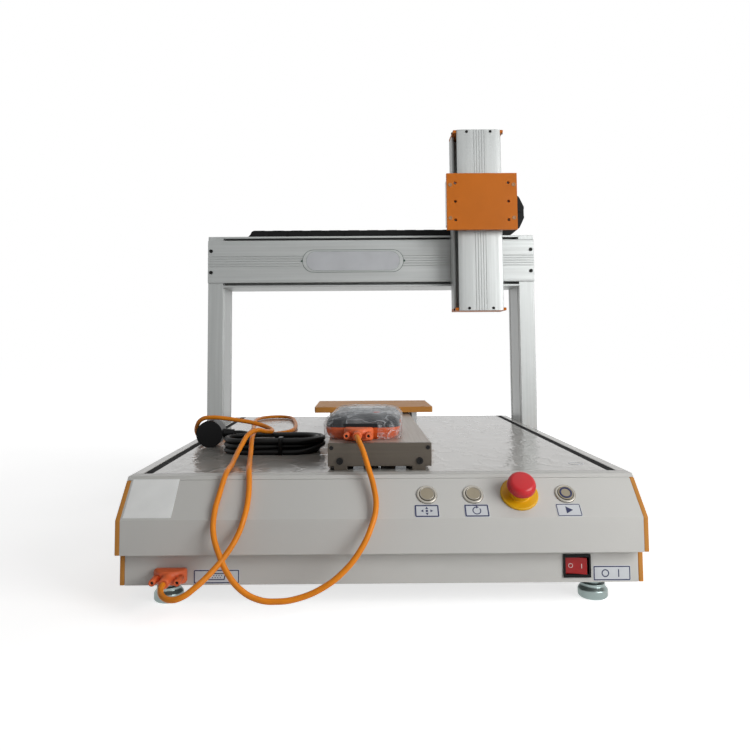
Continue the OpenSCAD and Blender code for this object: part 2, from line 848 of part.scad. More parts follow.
module z_slider() {
    color(alu) translate([x_rest, 0, 0]) difference() {
        along_z(zcar_z, zcar_h) difference() {
            union() {
                rect(-zin_w / 2 + 3, zslot_y + 0.7, zin_w / 2 - 3, zbody_y + 12);
                rect(-20, zbody_y + 11, 20, zrail_y - 5);
                rect(-block_w / 2, zrail_y - 6, block_w / 2, zrail_y + rail_h - 1);
                rect_pair(zin_w / 2 - 4, zslot_y + 0.7, zarm_x + zarm_t, zslot_y + 0.7 + zwing_t);
                rect_pair(zarm_x, tool_y + tool_t, zarm_x + zarm_t, zslot_y + 0.7 + zwing_t);
            }
            translate([0, zrail_y + rail_h]) rotate(180) rail_room();
        }
        translate([0, screw_y, zcar_z - 1]) cylinder(d = screw_d + 2 * shaft_gap, h = zcar_h + 2);
    }
}

module tool_plate() {
    color(orange) difference() {
        along_y(tool_y, tool_t) rect(x_rest - tool_w / 2, tool_bot, x_rest + tool_w / 2, tool_bot + tool_h);
        for (x = [-1, 1], z = [-1:1])
            translate([x_rest + x * tool_hole_x / 2, 0, tool_bot + tool_h / 2 + z * tool_hole_z])
                along_y(tool_y - 1, tool_t + 2) circle(d = tool_hole_d);
    }
}

// drag chain

// flat outline of one link, from joint to joint along x
module link_outline(len) {
    rect(0, -chain_t / 2, len, chain_t / 2);
    for (x = [0, len]) translate([x, 0]) circle(chain_t / 2);
}

// the two bars that join the side plates of one link; the two links where the runs meet have none
module link_bars(len) {
    for (z = [-chain_t / 2, chain_t / 2 - bar_t])
        rect(len / 2 - bar_w / 2, z, len / 2 + bar_w / 2, z + bar_t);
}

// places of the links in the X and Z plane: every second one from first, or all with step 1
module lower_links(first, step, count = chain_n) {
    for (i = [first:step:count - 1])
        translate([chain_x0 + i * chain_pitch, portal_top + chain_t / 2]) children();
}

module bend_links(first, step) {
    for (i = [first:step:bend_n - 1]) let (a = i * bend_a - 90)
        translate([chain_x1 + bend_r * cos(a), chain_mid + bend_r * sin(a)])
            rotate(a + bend_a / 2 + 90) children();
}

module upper_links(first, step) {
    for (i = [first:step:upper_n - 1])
        translate([chain_x1 - i * chain_pitch, chain_up + chain_t / 2]) rotate(180) children();
}

// a flat pattern as plates at both sides of the chain, set in from its outside
module chain_sides(inset, t) {
    along_y(chain_y - chain_w / 2 + inset, t) children();
    along_y(chain_y + chain_w / 2 - inset - t, t) children();
}

module chain_across(inset) {
    along_y(chain_y - chain_w / 2 + inset, chain_w - 2 * inset) children();
}

module chain_lower() {
    color(dark) {
        chain_sides(0, link_t) lower_links(0, 2) link_outline(chain_pitch);
        chain_sides(link_in, link_t) lower_links(1, 2) link_outline(chain_pitch);
        chain_sides(-pin_out, link_in + link_t + pin_out) lower_links(1, 1) circle(d = pin_d);
        chain_across(0) lower_links(0, 2, chain_n - 1) link_bars(chain_pitch);
        chain_across(link_in) lower_links(1, 2, chain_n - 1) link_bars(chain_pitch);
        chain_across(0) translate([chain_x0, portal_top]) polygon([
            [-chain_foot, 0], [-chain_foot, chain_foot_t], [-chain_foot / 2, chain_foot_t],
            [-chain_t / 4, chain_t * 0.85], [0, chain_t * 0.85], [0, 0]
        ]);
    }
}

module chain_upper() {
    bend_out = chain_n % 2;
    run_out = (chain_n + bend_n) % 2;
    color(dark) {
        chain_sides(0, link_t) {
            bend_links(bend_out, 2) link_outline(bend_l);
            upper_links(run_out, 2) link_outline(chain_pitch);
        }
        chain_sides(link_in, link_t) {
            bend_links(1 - bend_out, 2) link_outline(bend_l);
            upper_links(1 - run_out, 2) link_outline(chain_pitch);
        }
        chain_sides(-pin_out, link_in + link_t + pin_out) {
            bend_links(1, 1) circle(d = pin_d);
            upper_links(0, 1) circle(d = pin_d);
        }
        chain_across(0) {
            bend_links(2 - bend_out, 2) link_bars(bend_l);
            upper_links(run_out, 2) link_bars(chain_pitch);
        }
        chain_across(link_in) {
            bend_links(1 + bend_out, 2) link_bars(bend_l);
            upper_links(1 - run_out, 2) link_bars(chain_pitch);
        }
    }
}

module chain_bracket() {
    z1 = chain_up - bracket_t;
    color(alu) along_x(bracket_x, bracket_w) {
        rect(xplate_y, portal_top - flange_t - 0.75, xplate_y + bracket_t, chain_up);
        rect(xplate_y, z1, chain_y + chain_w / 2, chain_up);
    }
}

// controls

module button_bezel() {
    rotate_extrude() polygon([
        [0, -12 - button_stroke], [bezel_d / 2 - 1.6, -12 - button_stroke], [bezel_d / 2 - 1.6, 0],
        [bezel_d / 2, 0], [bezel_d / 2, bezel_t - 0.8], [bezel_d / 2 - 0.8, bezel_t],
        [cap_d / 2 + cap_gap, bezel_t], [cap_d / 2 + cap_gap, -7 - button_stroke], [0, -7 - button_stroke]
    ]);
}

module button_bezels() {
    color(steel) for (x = [control_x, reset_x, start_x]) on_slope(x, control_s) button_bezel();
}

module button_cap(x) {
    on_slope(x, control_s) translate([0, 0, -6]) cylinder(d = cap_d, h = 6 + bezel_t + 0.8);
}

module manual_button() { color([0.88, 0.88, 0.86]) button_cap(control_x); }

module reset_button() { color([0.88, 0.88, 0.86]) button_cap(reset_x); }

module start_button() { color([0.85, 0.85, 0.86]) button_cap(start_x); }

module estop_ring() {
    color([0.86, 0.70, 0.10]) on_slope(estop_x, control_s) difference() {
        rotate_extrude() polygon([
            [0, -22], [stem_d / 2 + 3, -22], [stem_d / 2 + 3, 0], [ring_d / 2, 0], [ring_d / 2, ring_t - 1],
            [ring_d / 2 - 1, ring_t], [stem_d / 2 + 4, ring_t], [stem_d / 2 + 4, ring_t + 5], [0, ring_t + 5]
        ]);
        translate([0, 0, -stem_in]) cylinder(d = stem_d + 2 * cap_gap, h = stem_in + ring_t + 10);
    }
}

module estop_head() {
    r = head_d / 2;
    profile = concat(
        [[0, -15], [stem_d / 2, -15], [stem_d / 2, 0], [r - 3, 0], [r, 3], [r, 5]],
        [for (a = [15:15:75]) [r - 6 + 6 * cos(a), 5 + (head_h - 5) * sin(a)]],
        [[r - 6, head_h], [0, head_h + 1]]
    );
    color([0.78, 0.16, 0.18]) on_slope(estop_x, control_s) translate([0, 0, head_z])
        rotate_extrude() polygon(profile);
}

module switch_frame() {
    color(dark) translate([switch_x, plinth_y, switch_z]) difference() {
        union() {
            along_y(-2, 2) square([switch_w, switch_h], center = true);
            along_y(0, 18) square([switch_w - 2.6, switch_h - 2.6], center = true);
        }
        along_y(-3, 15) square([rock_w + 2.4, rock_h + 0.6], center = true);
        translate([0, rock_in, -rock_h / 2 - 2]) cylinder(d = rock_pin + 2 * shaft_gap, h = rock_h + 4);
    }
}

module rocker() {
    w = rock_w / 2;
    color([0.72, 0.10, 0.10]) translate([switch_x, plinth_y + rock_in, switch_z])
        rotate([0, 0, -rock_tilt]) {
        translate([0, 0, -rock_h / 2]) linear_extrude(rock_h) polygon([
            [-w, -rock_in - 1.6], [0, -rock_in - 0.6], [w, -rock_in - 1.6],
            [w - 2, 1], [4, 4], [-4, 4], [2 - w, 1]
        ]);
        translate([0, 0, -rock_h / 2 - 1.6]) cylinder(d = rock_pin, h = rock_h + 3.2);
    }
}

// D shaped outline of a nine way connector
module dee(grow = 0) {
    offset(delta = grow) polygon([[-8.2, 4], [8.2, 4], [7, -4], [-7, -4]]);
}

module comm_socket() {
    color(steel) translate([port_x, plinth_y, port_z]) {
        along_y(-1, 1) square([31, 12.5], center = true);
        along_y(-6, 14) dee();
        for (x = [-1, 1]) translate([x * port_pitch / 2, -1, 0])
            rotate([90, 0, 0]) cylinder(d = 5, h = 4, $fn = 6);
    }
}

module power_inlet() {
    color(dark) difference() {
        union() {
            translate([inlet_x, back_y, inlet_z]) along_y(0, inlet_flange) round_rect(inlet_w, inlet_h, 6);
            translate([inlet_x, back_y, inlet_z]) along_y(-22, 22) square([27.6, 20.6], center = true);
        }
        translate([inlet_x, back_y, inlet_z]) along_y(-18, 30) polygon([
            [-12, -8.2], [12, -8.2], [12, 3.6], [7.6, 8.2], [-7.6, 8.2], [-12, 3.6]
        ]);
        for (x = [-1, 1]) translate([inlet_x + x * (inlet_w / 2 - 4), back_y - 1, inlet_z])
            rotate([-90, 0, 0]) cylinder(d = 3.6, h = inlet_flange + 2);
    }
}

module inlet_pins() {
    color(steel) translate([inlet_x, back_y, inlet_z]) along_y(-18, 14) mains_pins();
}

// teach pendant and leads

// one point of the pendant's outline: a rounded rectangle drawn in at the waist
function pend_point(a, inset) = let (
    w = pend_w / 2 - inset,
    l = pend_l / 2 - inset,
    y = l * sign(sin(a)) * pow(abs(sin(a)), pend_round),
    x = w * sign(cos(a)) * pow(abs(cos(a)), pend_round)
) [x * (1 - pend_waist / w * (1 - y * y / (l * l))), y];

// solid through the outline at each level of [inset, height]
module pendant_loft(levels) {
    n = 72;
    m = len(levels);
    verts = [for (v = levels, k = [0:n - 1]) concat(pend_point((k + 0.5) * 360 / n, v[0]), v[1])];
    faces = concat(
        [[for (k = [0:n - 1]) k]],
        [for (i = [0:m - 2], k = [0:n - 1])
            [i * n + k, (i + 1) * n + k, (i + 1) * n + (k + 1) % n, i * n + (k + 1) % n]],
        [[for (k = [0:n - 1]) m * n - 1 - k]]
    );
    polyhedron(verts, faces);
}

module at_pendant() {
    translate([pend_at[0], pend_at[1], ridge_top]) rotate([0, 0, pend_yaw]) children();
}

module pendant_lower_shell() {
    color(orange) at_pendant() pendant_loft([
        [pend_draft, 0], [pend_draft * 0.45, pend_t * 0.2], [pend_draft * 0.1, pend_t * 0.55],
        [0, pend_t * 0.8], [0, pend_t]
    ]);
}

module pendant_upper_shell() {
    color(dark) at_pendant() pendant_loft([
        [0, pend_t], [0.6, pend_t * 1.3], [pend_draft * 0.4, pend_t * 1.6], [pend_draft, pend_t * 1.82],
        [pend_draft * 1.7, pend_t * 1.95], [pend_draft * 2.4, pend_t * 2]
    ]);
}

// connector hood with its mating face at y = 0, its body towards -y, and a thumb screw at each side
module hood() {
    sleeve = cable_d + 4;
    along_y(-hood_l + 12, hood_l - 12) round_rect(hood_w, hood_h, 2);
    along_y(-hood_l + 6, 6) round_rect(port_pitch - thumb_d - 2, hood_h * 0.85, 2);
    along_y(-hood_l, 6) circle(d = sleeve);
    for (x = [-1, 1]) translate([x * port_pitch / 2, -hood_l + 12, 0]) rotate([90, 0, 0])
        screw_head(thumb_d, thumb_l);
}

module port_plug() {
    color([0.90, 0.42, 0.26]) difference() {
        translate([port_x, plinth_y - 1, port_z]) hood();
        translate([port_x, plinth_y, port_z]) along_y(-8, 9) dee(0.3);
        for (x = [-1, 1]) translate([port_x + x * port_pitch / 2, plinth_y + 1, port_z]) rotate([90, 0, 0])
            cylinder(d = 6.4, h = 7);
    }
}

module pendant_plug() {
    color([0.90, 0.42, 0.26]) at_pendant()
        translate([-3, -pend_l / 2, hood_h / 2 + 0.2]) hood();
}

function unit(v) = v / norm(v);

// point at t of 0 to 1 between the second and third of four points on one smooth curve
function smooth(a, b, c, d, t) =
    0.5 * (2 * b + (c - a) * t + (2 * a - 5 * b + 4 * c - d) * t * t + (3 * b - a - 3 * c + d) * t * t * t);

// rings along a route, with steps points for each stretch
function route(p, steps) = let (n = len(p) - 1) concat(
    [for (i = [0:n - 1], k = [0:steps - 1])
        smooth(p[max(i - 1, 0)], p[i], p[i + 1], p[min(i + 2, n)], k / steps)],
    [p[n]]
);

// direction of the route at each ring
function headings(p) = let (n = len(p) - 1)
    [for (i = [0:n]) unit(p[min(i + 1, n)] - p[max(i - 1, 0)])];

// side directions carried from ring to ring without twist
function sides(t, i = 0, prev = [1, 0, 0.2]) =
    i == len(t) ? [] : let (s = unit(prev - (prev * t[i]) * t[i])) concat([s], sides(t, i + 1, s));

// round tube swept along the points
module tube(pts, d, steps = 1, n = 10) {
    p = route(pts, steps);
    t = headings(p);
    s = sides(t);
    m = len(p);
    verts = [for (i = [0:m - 1], k = [0:n - 1])
        p[i] + d / 2 * (cos(k * 360 / n) * s[i] + sin(k * 360 / n) * cross(t[i], s[i]))];
    faces = concat(
        [[for (k = [0:n - 1]) n - 1 - k]],
        [for (i = [0:m - 2], k = [0:n - 1])
            [i * n + k, i * n + (k + 1) % n, (i + 1) * n + (k + 1) % n, (i + 1) * n + k]],
        [[for (k = [0:n - 1]) (m - 1) * n + k]]
    );
    polyhedron(verts, [for (f = faces) [for (k = [len(f) - 1:-1:0]) f[k]]]);
}

module pendant_cable() { color([0.88, 0.50, 0.16]) tube(cable_pts, cable_d); }

module mains_hank() {
    color(dark) translate([hank_at[0], hank_at[1], table_z]) linear_extrude(hank_h) difference() {
        union() {
            square([hank_l - hank_w, hank_w], center = true);
            for (x = [-1, 1]) translate([x * (hank_l - hank_w) / 2, 0]) circle(d = hank_w);
        }
        square([hank_l - hank_w, hank_w - 2 * hank_t], center = true);
        for (x = [-1, 1]) translate([x * (hank_l - hank_w) / 2, 0]) circle(d = hank_w - 2 * hank_t);
    }
    tail_x = conn_at[0] + conn_l + conn_boot;
    color(dark) along_z(table_z, hank_h)
        rect(tail_x, conn_at[1] - lead_d / 2, hank_at[0] + hank_l / 2 - hank_t, conn_at[1] + lead_d / 2);
}

module mains_lead() { color(dark) tube(lead_pts, lead_d, 2); }

module mains_plug() {
    z = table_z + plug_d / 2;
    color(dark) {
        translate([plug_at[0], plug_at[1] - plug_l / 2, z])
            rotate([-90, 0, 0]) cylinder(d = plug_d, h = plug_l);
        translate([plug_at[0], plug_at[1], z]) rotate([0, 90, 0])
            cylinder(d1 = 16, d2 = lead_d + 3, h = plug_d / 2 + plug_boot);
        for (x = [-9.5, 9.5]) translate([plug_at[0] + x, plug_at[1] + plug_l / 2, z])
            rotate([-90, 0, 0]) cylinder(d = 4.8, h = 19);
    }
}

// outline in X and Z of a mains connector's three pins, each grown by a gap
module mains_pins(gap = 0) {
    for (p = [[-7, -1.6], [0, 2.6], [7, -1.6]]) translate(p) square([2 + gap, 4 + gap], center = true);
}

// appliance connector at the other end of the lead, lying inside the hank
module mains_connector() {
    color(dark) translate([conn_at[0], conn_at[1], table_z + conn_h / 2]) rotate([0, 0, -90]) {
        difference() {
            along_y(0, conn_l) round_rect(conn_w, conn_h, 3);
            along_y(-1, conn_slot) mains_pins(0.6);
        }
        translate([0, conn_l, 0]) rotate([-90, 0, 0])
            cylinder(d1 = lead_d + 6, d2 = lead_d + 3, h = conn_boot);
    }
}

base_pan();
side_plate_left();
side_plate_right();
front_panel();
plinth_panel();
rear_panel();
table_plate();
slot_strips();
levelling_feet();
ridge_cover();
ridge_end_plates();
y_rails();
y_slider();
y_plate();
y_belt();
y_drive_pulley();
y_idler_pulley();
stepper_motors();
column_left();
column_right();
beam_body();
beam_cover();
frame_screws();
x_rail();
x_slider();
x_plate();
x_belt();
x_drive_pulley();
x_idler_pulley();
z_body();
z_cover();
z_end_plates();
z_motor();
z_rail();
z_screw();
z_slider();
tool_plate();
chain_lower();
chain_upper();
chain_bracket();
button_bezels();
manual_button();
reset_button();
start_button();
estop_ring();
estop_head();
switch_frame();
rocker();
comm_socket();
power_inlet();
inlet_pins();
pendant_lower_shell();
pendant_upper_shell();
pendant_plug();
port_plug();
pendant_cable();
mains_hank();
mains_lead();
mains_plug();
mains_connector();
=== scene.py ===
import math

import bmesh
import bpy
from mathutils import Matrix, Vector, noise


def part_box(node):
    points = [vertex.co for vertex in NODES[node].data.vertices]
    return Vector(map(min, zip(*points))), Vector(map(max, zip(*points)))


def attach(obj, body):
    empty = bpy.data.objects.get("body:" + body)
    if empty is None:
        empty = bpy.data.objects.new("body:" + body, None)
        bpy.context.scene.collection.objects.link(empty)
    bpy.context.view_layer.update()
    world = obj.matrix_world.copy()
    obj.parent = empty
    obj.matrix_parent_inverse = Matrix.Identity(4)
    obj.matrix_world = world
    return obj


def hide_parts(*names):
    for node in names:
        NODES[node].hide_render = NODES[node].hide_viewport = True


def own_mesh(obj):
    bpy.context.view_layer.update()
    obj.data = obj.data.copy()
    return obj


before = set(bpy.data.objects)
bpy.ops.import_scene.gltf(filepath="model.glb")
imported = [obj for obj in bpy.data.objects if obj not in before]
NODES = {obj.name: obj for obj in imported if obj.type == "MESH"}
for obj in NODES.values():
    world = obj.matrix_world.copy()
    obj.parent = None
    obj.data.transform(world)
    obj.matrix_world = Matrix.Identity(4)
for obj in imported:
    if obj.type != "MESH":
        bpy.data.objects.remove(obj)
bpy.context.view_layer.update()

MM = 0.001


def mm(*values):
    return Vector(values) * MM


def low(node):
    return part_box(node)[0] / MM


def high(node):
    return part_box(node)[1] / MM


def middle(node):
    return (low(node) + high(node)) / 2


# main places of the part, in millimetres of the shared frame
TABLE_Z = high("table_plate").z
FRONT_Y = low("front_panel").y
PLINTH_Y = low("plinth_panel").y
SLOPE_Z = 98.0  # foot of the slope
SLOPE = math.radians(44.256)
BUTTON_UP = 28.0  # from the foot of the slope up to the controls
LABEL_UP = 8.7  # and to the middle of their labels
SINK = 0.1  # depth of small pieces in the surface they sit on
COVER_Y = low("beam_cover").y
TOOL_FACE = low("tool_plate").y
TOOL_MIDDLE = middle("tool_plate")
Z_COVER_FACE = low("z_cover").y
RIDGE_TOP = high("ridge_cover").z
PENDANT_AT = (-15.0, -176.0)
PENDANT_HALF = (50.0, 75.0)
PLUG_X, PLUG_UP = -3.0, 7.7  # the pendant's plug, from its middle line and from the ridge
PENDANT_YAW = math.radians(-4.0)
PENDANT_TOP = high("pendant_upper_shell").z


def srgb(red, green, blue):
    """Linear colour of an 8 bit screen colour."""
    def linear(value):
        value /= 255
        return value / 12.92 if value < 0.04045 else ((value + 0.055) / 1.055) ** 2.4

    return linear(red), linear(green), linear(blue), 1.0


# camera, fitted to the photograph

PHOTO_SIZE = 750  # pixels, as the next two
FOCAL = 692.18
CENTRE = (362.22, 300.35)
PITCH, YAW, ROLL = 0.0698, 0.0036, -0.0065
CAMERA_AT = (-21.49, -1074.75, 272.97)


def add_camera():
    forward = Vector((
        math.cos(PITCH) * math.sin(YAW), math.cos(PITCH) * math.cos(YAW), math.sin(PITCH)))
    right = Vector((math.cos(YAW), -math.sin(YAW), 0))
    up = right.cross(forward)
    right, up = (
        math.cos(ROLL) * right + math.sin(ROLL) * up,
        math.cos(ROLL) * up - math.sin(ROLL) * right)
    data = bpy.data.cameras.new("camera")
    data.sensor_width = 36
    data.lens = FOCAL * data.sensor_width / PHOTO_SIZE
    data.shift_x = (PHOTO_SIZE / 2 - CENTRE[0]) / PHOTO_SIZE
    data.shift_y = (CENTRE[1] - PHOTO_SIZE / 2) / PHOTO_SIZE
    data.clip_start, data.clip_end = 0.01, 50
    camera = bpy.data.objects.new("camera", data)
    camera.matrix_world = Matrix.Translation(mm(*CAMERA_AT)) @ Matrix(
        (right, up, -forward)).transposed().to_4x4()
    bpy.context.collection.objects.link(camera)
    bpy.context.scene.camera = camera


# finishes

class Finish:
    """A material on one Principled shader, with short calls for its node inputs."""

    def __init__(self, name, colour, roughness=0.5, metallic=0.0):
        self.material = bpy.data.materials.new(name)
        self.material.use_nodes = True
        tree = self.material.node_tree
        self.nodes, self.links = tree.nodes, tree.links
        self.shader = self.nodes["Principled BSDF"]
        self.set("Base Color", colour)
        self.set("Roughness", roughness)
        self.set("Metallic", metallic)

    def set(self, socket, value):
        self.shader.inputs[socket].default_value = value
        return self

    def join(self, output, socket):
        self.links.new(output, self.shader.inputs[socket])
        return self

    def place(self, scale):
        """Object coordinates, stretched."""
        coord = self.nodes.new("ShaderNodeTexCoord")
        mapping = self.nodes.new("ShaderNodeMapping")
        mapping.inputs["Scale"].default_value = scale
        self.links.new(coord.outputs["Object"], mapping.inputs["Vector"])
        return mapping.outputs["Vector"]

    def noise(self, scale, detail=3.0, stretch=(1, 1, 1), roughness=0.5):
        node = self.nodes.new("ShaderNodeTexNoise")
        node.inputs["Scale"].default_value = scale
        node.inputs["Detail"].default_value = detail
        node.inputs["Roughness"].default_value = roughness
        self.links.new(self.place(stretch), node.inputs["Vector"])
        return node.outputs["Fac"]

    def range(self, value, first, last, start=0.0, end=1.0):
        """Value between start and end, mapped to first up to last."""
        node = self.nodes.new("ShaderNodeMapRange")
        for name, number in (
                ("From Min", start), ("From Max", end), ("To Min", first), ("To Max", last)):
            node.inputs[name].default_value = number
        self.links.new(value, node.inputs["Value"])
        return node.outputs["Result"]

    def ramp(self, value, *stops):
        node = self.nodes.new("ShaderNodeValToRGB")
        marks = node.color_ramp.elements
        while len(marks) < len(stops):
            marks.new(0.5)
        for mark, (place, colour) in zip(marks, stops):
            mark.position, mark.color = place, colour
        self.links.new(value, node.inputs["Fac"])
        return node.outputs["Color"]

    def math(self, kind, first, second):
        node = self.nodes.new("ShaderNodeMath")
        node.operation = kind
        for socket, value in zip(node.inputs, (first, second)):
            if isinstance(value, (int, float)):
                socket.default_value = value
            else:
                self.links.new(value, socket)
        return node.outputs["Value"]

    def ridges(self, folds, height, width):
        """Thin lines where a noise passes through its middle."""
        away = self.math("ABSOLUTE", self.math("SUBTRACT", folds, 0.5), 0)
        return self.range(away, height, 0, 0, width)

    def axis(self, name):
        coord = self.nodes.new("ShaderNodeTexCoord")
        split = self.nodes.new("ShaderNodeSeparateXYZ")
        self.links.new(coord.outputs["Object"], split.inputs["Vector"])
        return split.outputs[name]

    def bump(self, height, strength, distance):
        """Fine relief from a height value."""
        node = self.nodes.new("ShaderNodeBump")
        node.inputs["Strength"].default_value = strength
        node.inputs["Distance"].default_value = distance
        self.links.new(height, node.inputs["Height"])
        return self.join(node.outputs["Normal"], "Normal")


def shade(colour, factor):
    return tuple(min(c * factor, 1.0) for c in colour[:3]) + (1.0,)


def varied(finish, colour, scale, depth, stretch=(1, 1, 1)):
    """Colour that drifts a little over the surface."""
    finish.join(finish.ramp(
        finish.noise(scale, 4, stretch),
        (0.3, shade(colour, 1 - depth)), (0.7, shade(colour, 1 + depth))), "Base Color")
    return finish


def powder_coat(name, colour, roughness=0.42):
    """Matt paint with a fine orange peel."""
    finish = varied(Finish(name, colour, roughness), colour, 5, 0.035)
    finish.join(finish.range(finish.noise(40, 3), roughness - 0.07, roughness + 0.08), "Roughness")
    return finish.bump(finish.noise(900, 2), 0.12, 0.0002)


def satin_paint(name, colour):
    """Sprayed paint with a slight sheen."""
    finish = varied(Finish(name, colour, 0.36).set("Specular IOR Level", 0.15), colour, 14, 0.06)
    finish.join(finish.range(finish.noise(60, 4), 0.38, 0.56), "Roughness")
    return finish.bump(finish.noise(500, 3), 0.1, 0.0002)


def drawn_aluminium(name, colour, stretch, roughness=0.4):
    """Anodised profile with fine drawing lines; stretch is small along the lines."""
    finish = varied(Finish(name, colour, roughness, 0.45), colour, 260, 0.07, stretch)
    finish.join(finish.range(finish.noise(420, 4, stretch), roughness - 0.1, roughness + 0.12), "Roughness")
    return finish.bump(finish.noise(700, 3, stretch), 0.16, 0.0002)


def milled(name, colour, roughness=0.32, metallic=0.9):
    """Bare or plated metal with small marks."""
    finish = varied(Finish(name, colour, roughness, metallic), colour, 60, 0.08)
    finish.join(finish.range(finish.noise(150, 4), roughness - 0.08, roughness + 0.12), "Roughness")
    return finish.bump(finish.noise(1200, 2), 0.08, 0.0001)


def plastic(name, colour, roughness=0.4, grain=900, depth=0.15, gloss=0.35):
    """Moulded plastic, with the scale and depth of its grain."""
    finish = varied(Finish(name, colour, roughness).set("Specular IOR Level", gloss), colour, 30, 0.05)
    finish.join(finish.range(finish.noise(120, 3), roughness - 0.06, roughness + 0.08), "Roughness")
    return finish.bump(finish.noise(grain, 2), depth, 0.0002)


def cable_jacket(name, colour, roughness=0.42, gloss=0.3):
    """Soft plastic that drifts in colour along the cord."""
    finish = varied(Finish(name, colour, roughness).set("Specular IOR Level", gloss), colour, 45, 0.09)
    finish.join(finish.range(finish.noise(90, 3), roughness - 0.08, roughness + 0.1), "Roughness")
    return finish.bump(finish.noise(600, 2), 0.1, 0.0002)


def table_finish():
    """Grey paint, with clear wrinkled film over all but a strip along the front edge."""
    bare, paint = srgb(200, 199, 195), srgb(170, 167, 161)
    film_edge, fade = -0.291, 0.0005
    finish = Finish("table_with_film", paint, 0.4)
    film = finish.range(finish.axis("Y"), 0, 1, film_edge - fade, film_edge + fade)
    folds = finish.noise(16, 4, (1, 0.55, 1), 0.6)
    ridges = finish.ridges(folds, 1, 0.05)
    crease = finish.math("MULTIPLY", ridges, film)
    cover = finish.math("ADD", film, finish.range(finish.noise(6, 3), -0.08, 0.08, 0.3, 0.7))
    finish.join(finish.ramp(
        cover, (0.1, bare), (0.9, shade(paint, 0.96)), (1.0, shade(paint, 1.05))), "Base Color")
    gloss = finish.math("MULTIPLY", film, 0.26)
    finish.join(finish.math("SUBTRACT", finish.range(finish.noise(50, 3), 0.36, 0.5), gloss), "Roughness")
    height = finish.math("ADD", finish.math("MULTIPLY", crease, 0.7), finish.math("MULTIPLY", folds, 0.5))
    return finish.bump(finish.math("MULTIPLY", height, film), 0.22, 0.002)


def clear_film():
    """Thin bluish white film that shows by its gloss and its creases; it is made more opaque at the creases,
    in patches and where it turns away, which paints glare as well as haze on it.
    """
    finish = Finish("clear_film", (0.8, 0.84, 0.88, 1.0), 0.12)
    finish.set("Specular IOR Level", 0.9)
    turned = finish.nodes.new("ShaderNodeLayerWeight")
    turned.inputs["Blend"].default_value = 0.35
    folds = finish.noise(38, 3, (1, 1, 1.6), 0.55)
    ridges = finish.ridges(folds, 0.28, 0.035)
    # random patches of more opaque bluish white film: painted glare
    painted_glare_patches = finish.range(finish.noise(24, 2), 0, 0.2, 0.46, 0.7)
    haze_and_painted_glare = finish.math("ADD", ridges, painted_glare_patches)
    # opacity of the bluish white film: painted glare and haze at the creases, in patches and where the film
    # turns away
    finish.join(finish.math("ADD", haze_and_painted_glare, finish.range(turned.outputs["Facing"], 0.03, 0.3)), "Alpha")
    return finish.bump(finish.math("ADD", folds, ridges), 0.8, 0.003)


def make_finishes():
    alu = srgb(176, 179, 178)
    return {
        "panel": powder_coat("panel_powder_coat", srgb(200, 199, 195)),
        "pan": powder_coat("pan_powder_coat", srgb(120, 120, 117)),
        "table": table_finish(),
        "orange": satin_paint("orange_paint", srgb(208, 114, 30)),
        "side": satin_paint("side_paint", srgb(198, 136, 66)),
        "ridge": drawn_aluminium("ridge_cover_sheet", srgb(164, 156, 147), (1, 0.03, 1)),
        "ridge_end": drawn_aluminium("ridge_end_brushed", srgb(84, 77, 68), (0.03, 1, 1), 0.45),
        "alu_x": drawn_aluminium("anodised_along_x", alu, (0.02, 1, 1)),
        "alu_z": drawn_aluminium("anodised_along_z", alu, (1, 1, 0.02)),
        "milled": milled("milled_aluminium", srgb(190, 192, 192)),
        "steel": milled("ground_steel", srgb(150, 152, 154), 0.22, 1.0),
        "zinc": milled("zinc_plated", srgb(176, 178, 178), 0.28, 1.0),
        # steel screw heads tinted orange brown: a painted reflection of the orange tool plate
        "steel_with_painted_reflection": milled("screw_steel_with_painted_orange_reflection", srgb(150, 112, 78), 0.5, 0.4),
        "oxide": plastic("black_oxide", srgb(16, 16, 16), 0.45, 1200, 0.08, 0.2),
        "chrome": milled("brushed_chrome", srgb(150, 146, 138), 0.34, 0.95),
        "cap": milled("button_cap", srgb(128, 120, 104), 0.42, 0.8),
        "foot": milled("foot_metal", srgb(150, 164, 162), 0.3, 0.9),
        "rubber": plastic("slot_rubber", srgb(18, 18, 18), 0.7, 500, 0.3, 0.05),
        "belt": plastic("belt_rubber", srgb(28, 28, 28), 0.7, 700, 0.4, 0.15),
        "chain": plastic("chain_nylon", srgb(11, 11, 12), 0.5, 900, 0.25, 0.15),
        "black": plastic("black_plastic", srgb(9, 9, 10), 0.36, 900, 0.15, 0.15),
        "shell": plastic("pendant_black", srgb(20, 21, 24), 0.4, 1400, 0.3, 0.2),
        "shell_orange": plastic("pendant_orange", srgb(222, 92, 24), 0.4, 1400, 0.2),
        "hood": plastic("hood_orange", srgb(232, 110, 62), 0.4, 1100, 0.25),
        "red": plastic("stop_red", srgb(200, 30, 38), 0.3, 600, 0.08),
        "rocker": plastic("rocker_red", srgb(168, 8, 12), 0.2, 600, 0.06),
        "yellow": plastic("stop_yellow", srgb(222, 168, 8), 0.4, 900, 0.15),
        "cable": cable_jacket("cable_orange", srgb(236, 138, 24)),
        "cord": cable_jacket("cord_black", srgb(13, 13, 13), 0.42, 0.15),
        "white": plastic("label_white", srgb(246, 247, 245), 0.42, 1500, 0.05),
        "pale": plastic("label_pale", srgb(206, 209, 213), 0.42, 1500, 0.05),
        "navy": plastic("label_navy", srgb(32, 38, 78), 0.45, 1500, 0.05),
        "green": plastic("plate_line_green", srgb(52, 74, 62), 0.45, 1500, 0.05),
        "panel_dark": plastic("keypad_sheet", srgb(40, 42, 46), 0.42, 1500, 0.1),
        "key": plastic("keypad_key", srgb(118, 122, 126), 0.45, 1500, 0.1),
        "glass": plastic("display_glass", srgb(30, 40, 40), 0.12, 1500, 0.02),
        "film": clear_film(),
    }


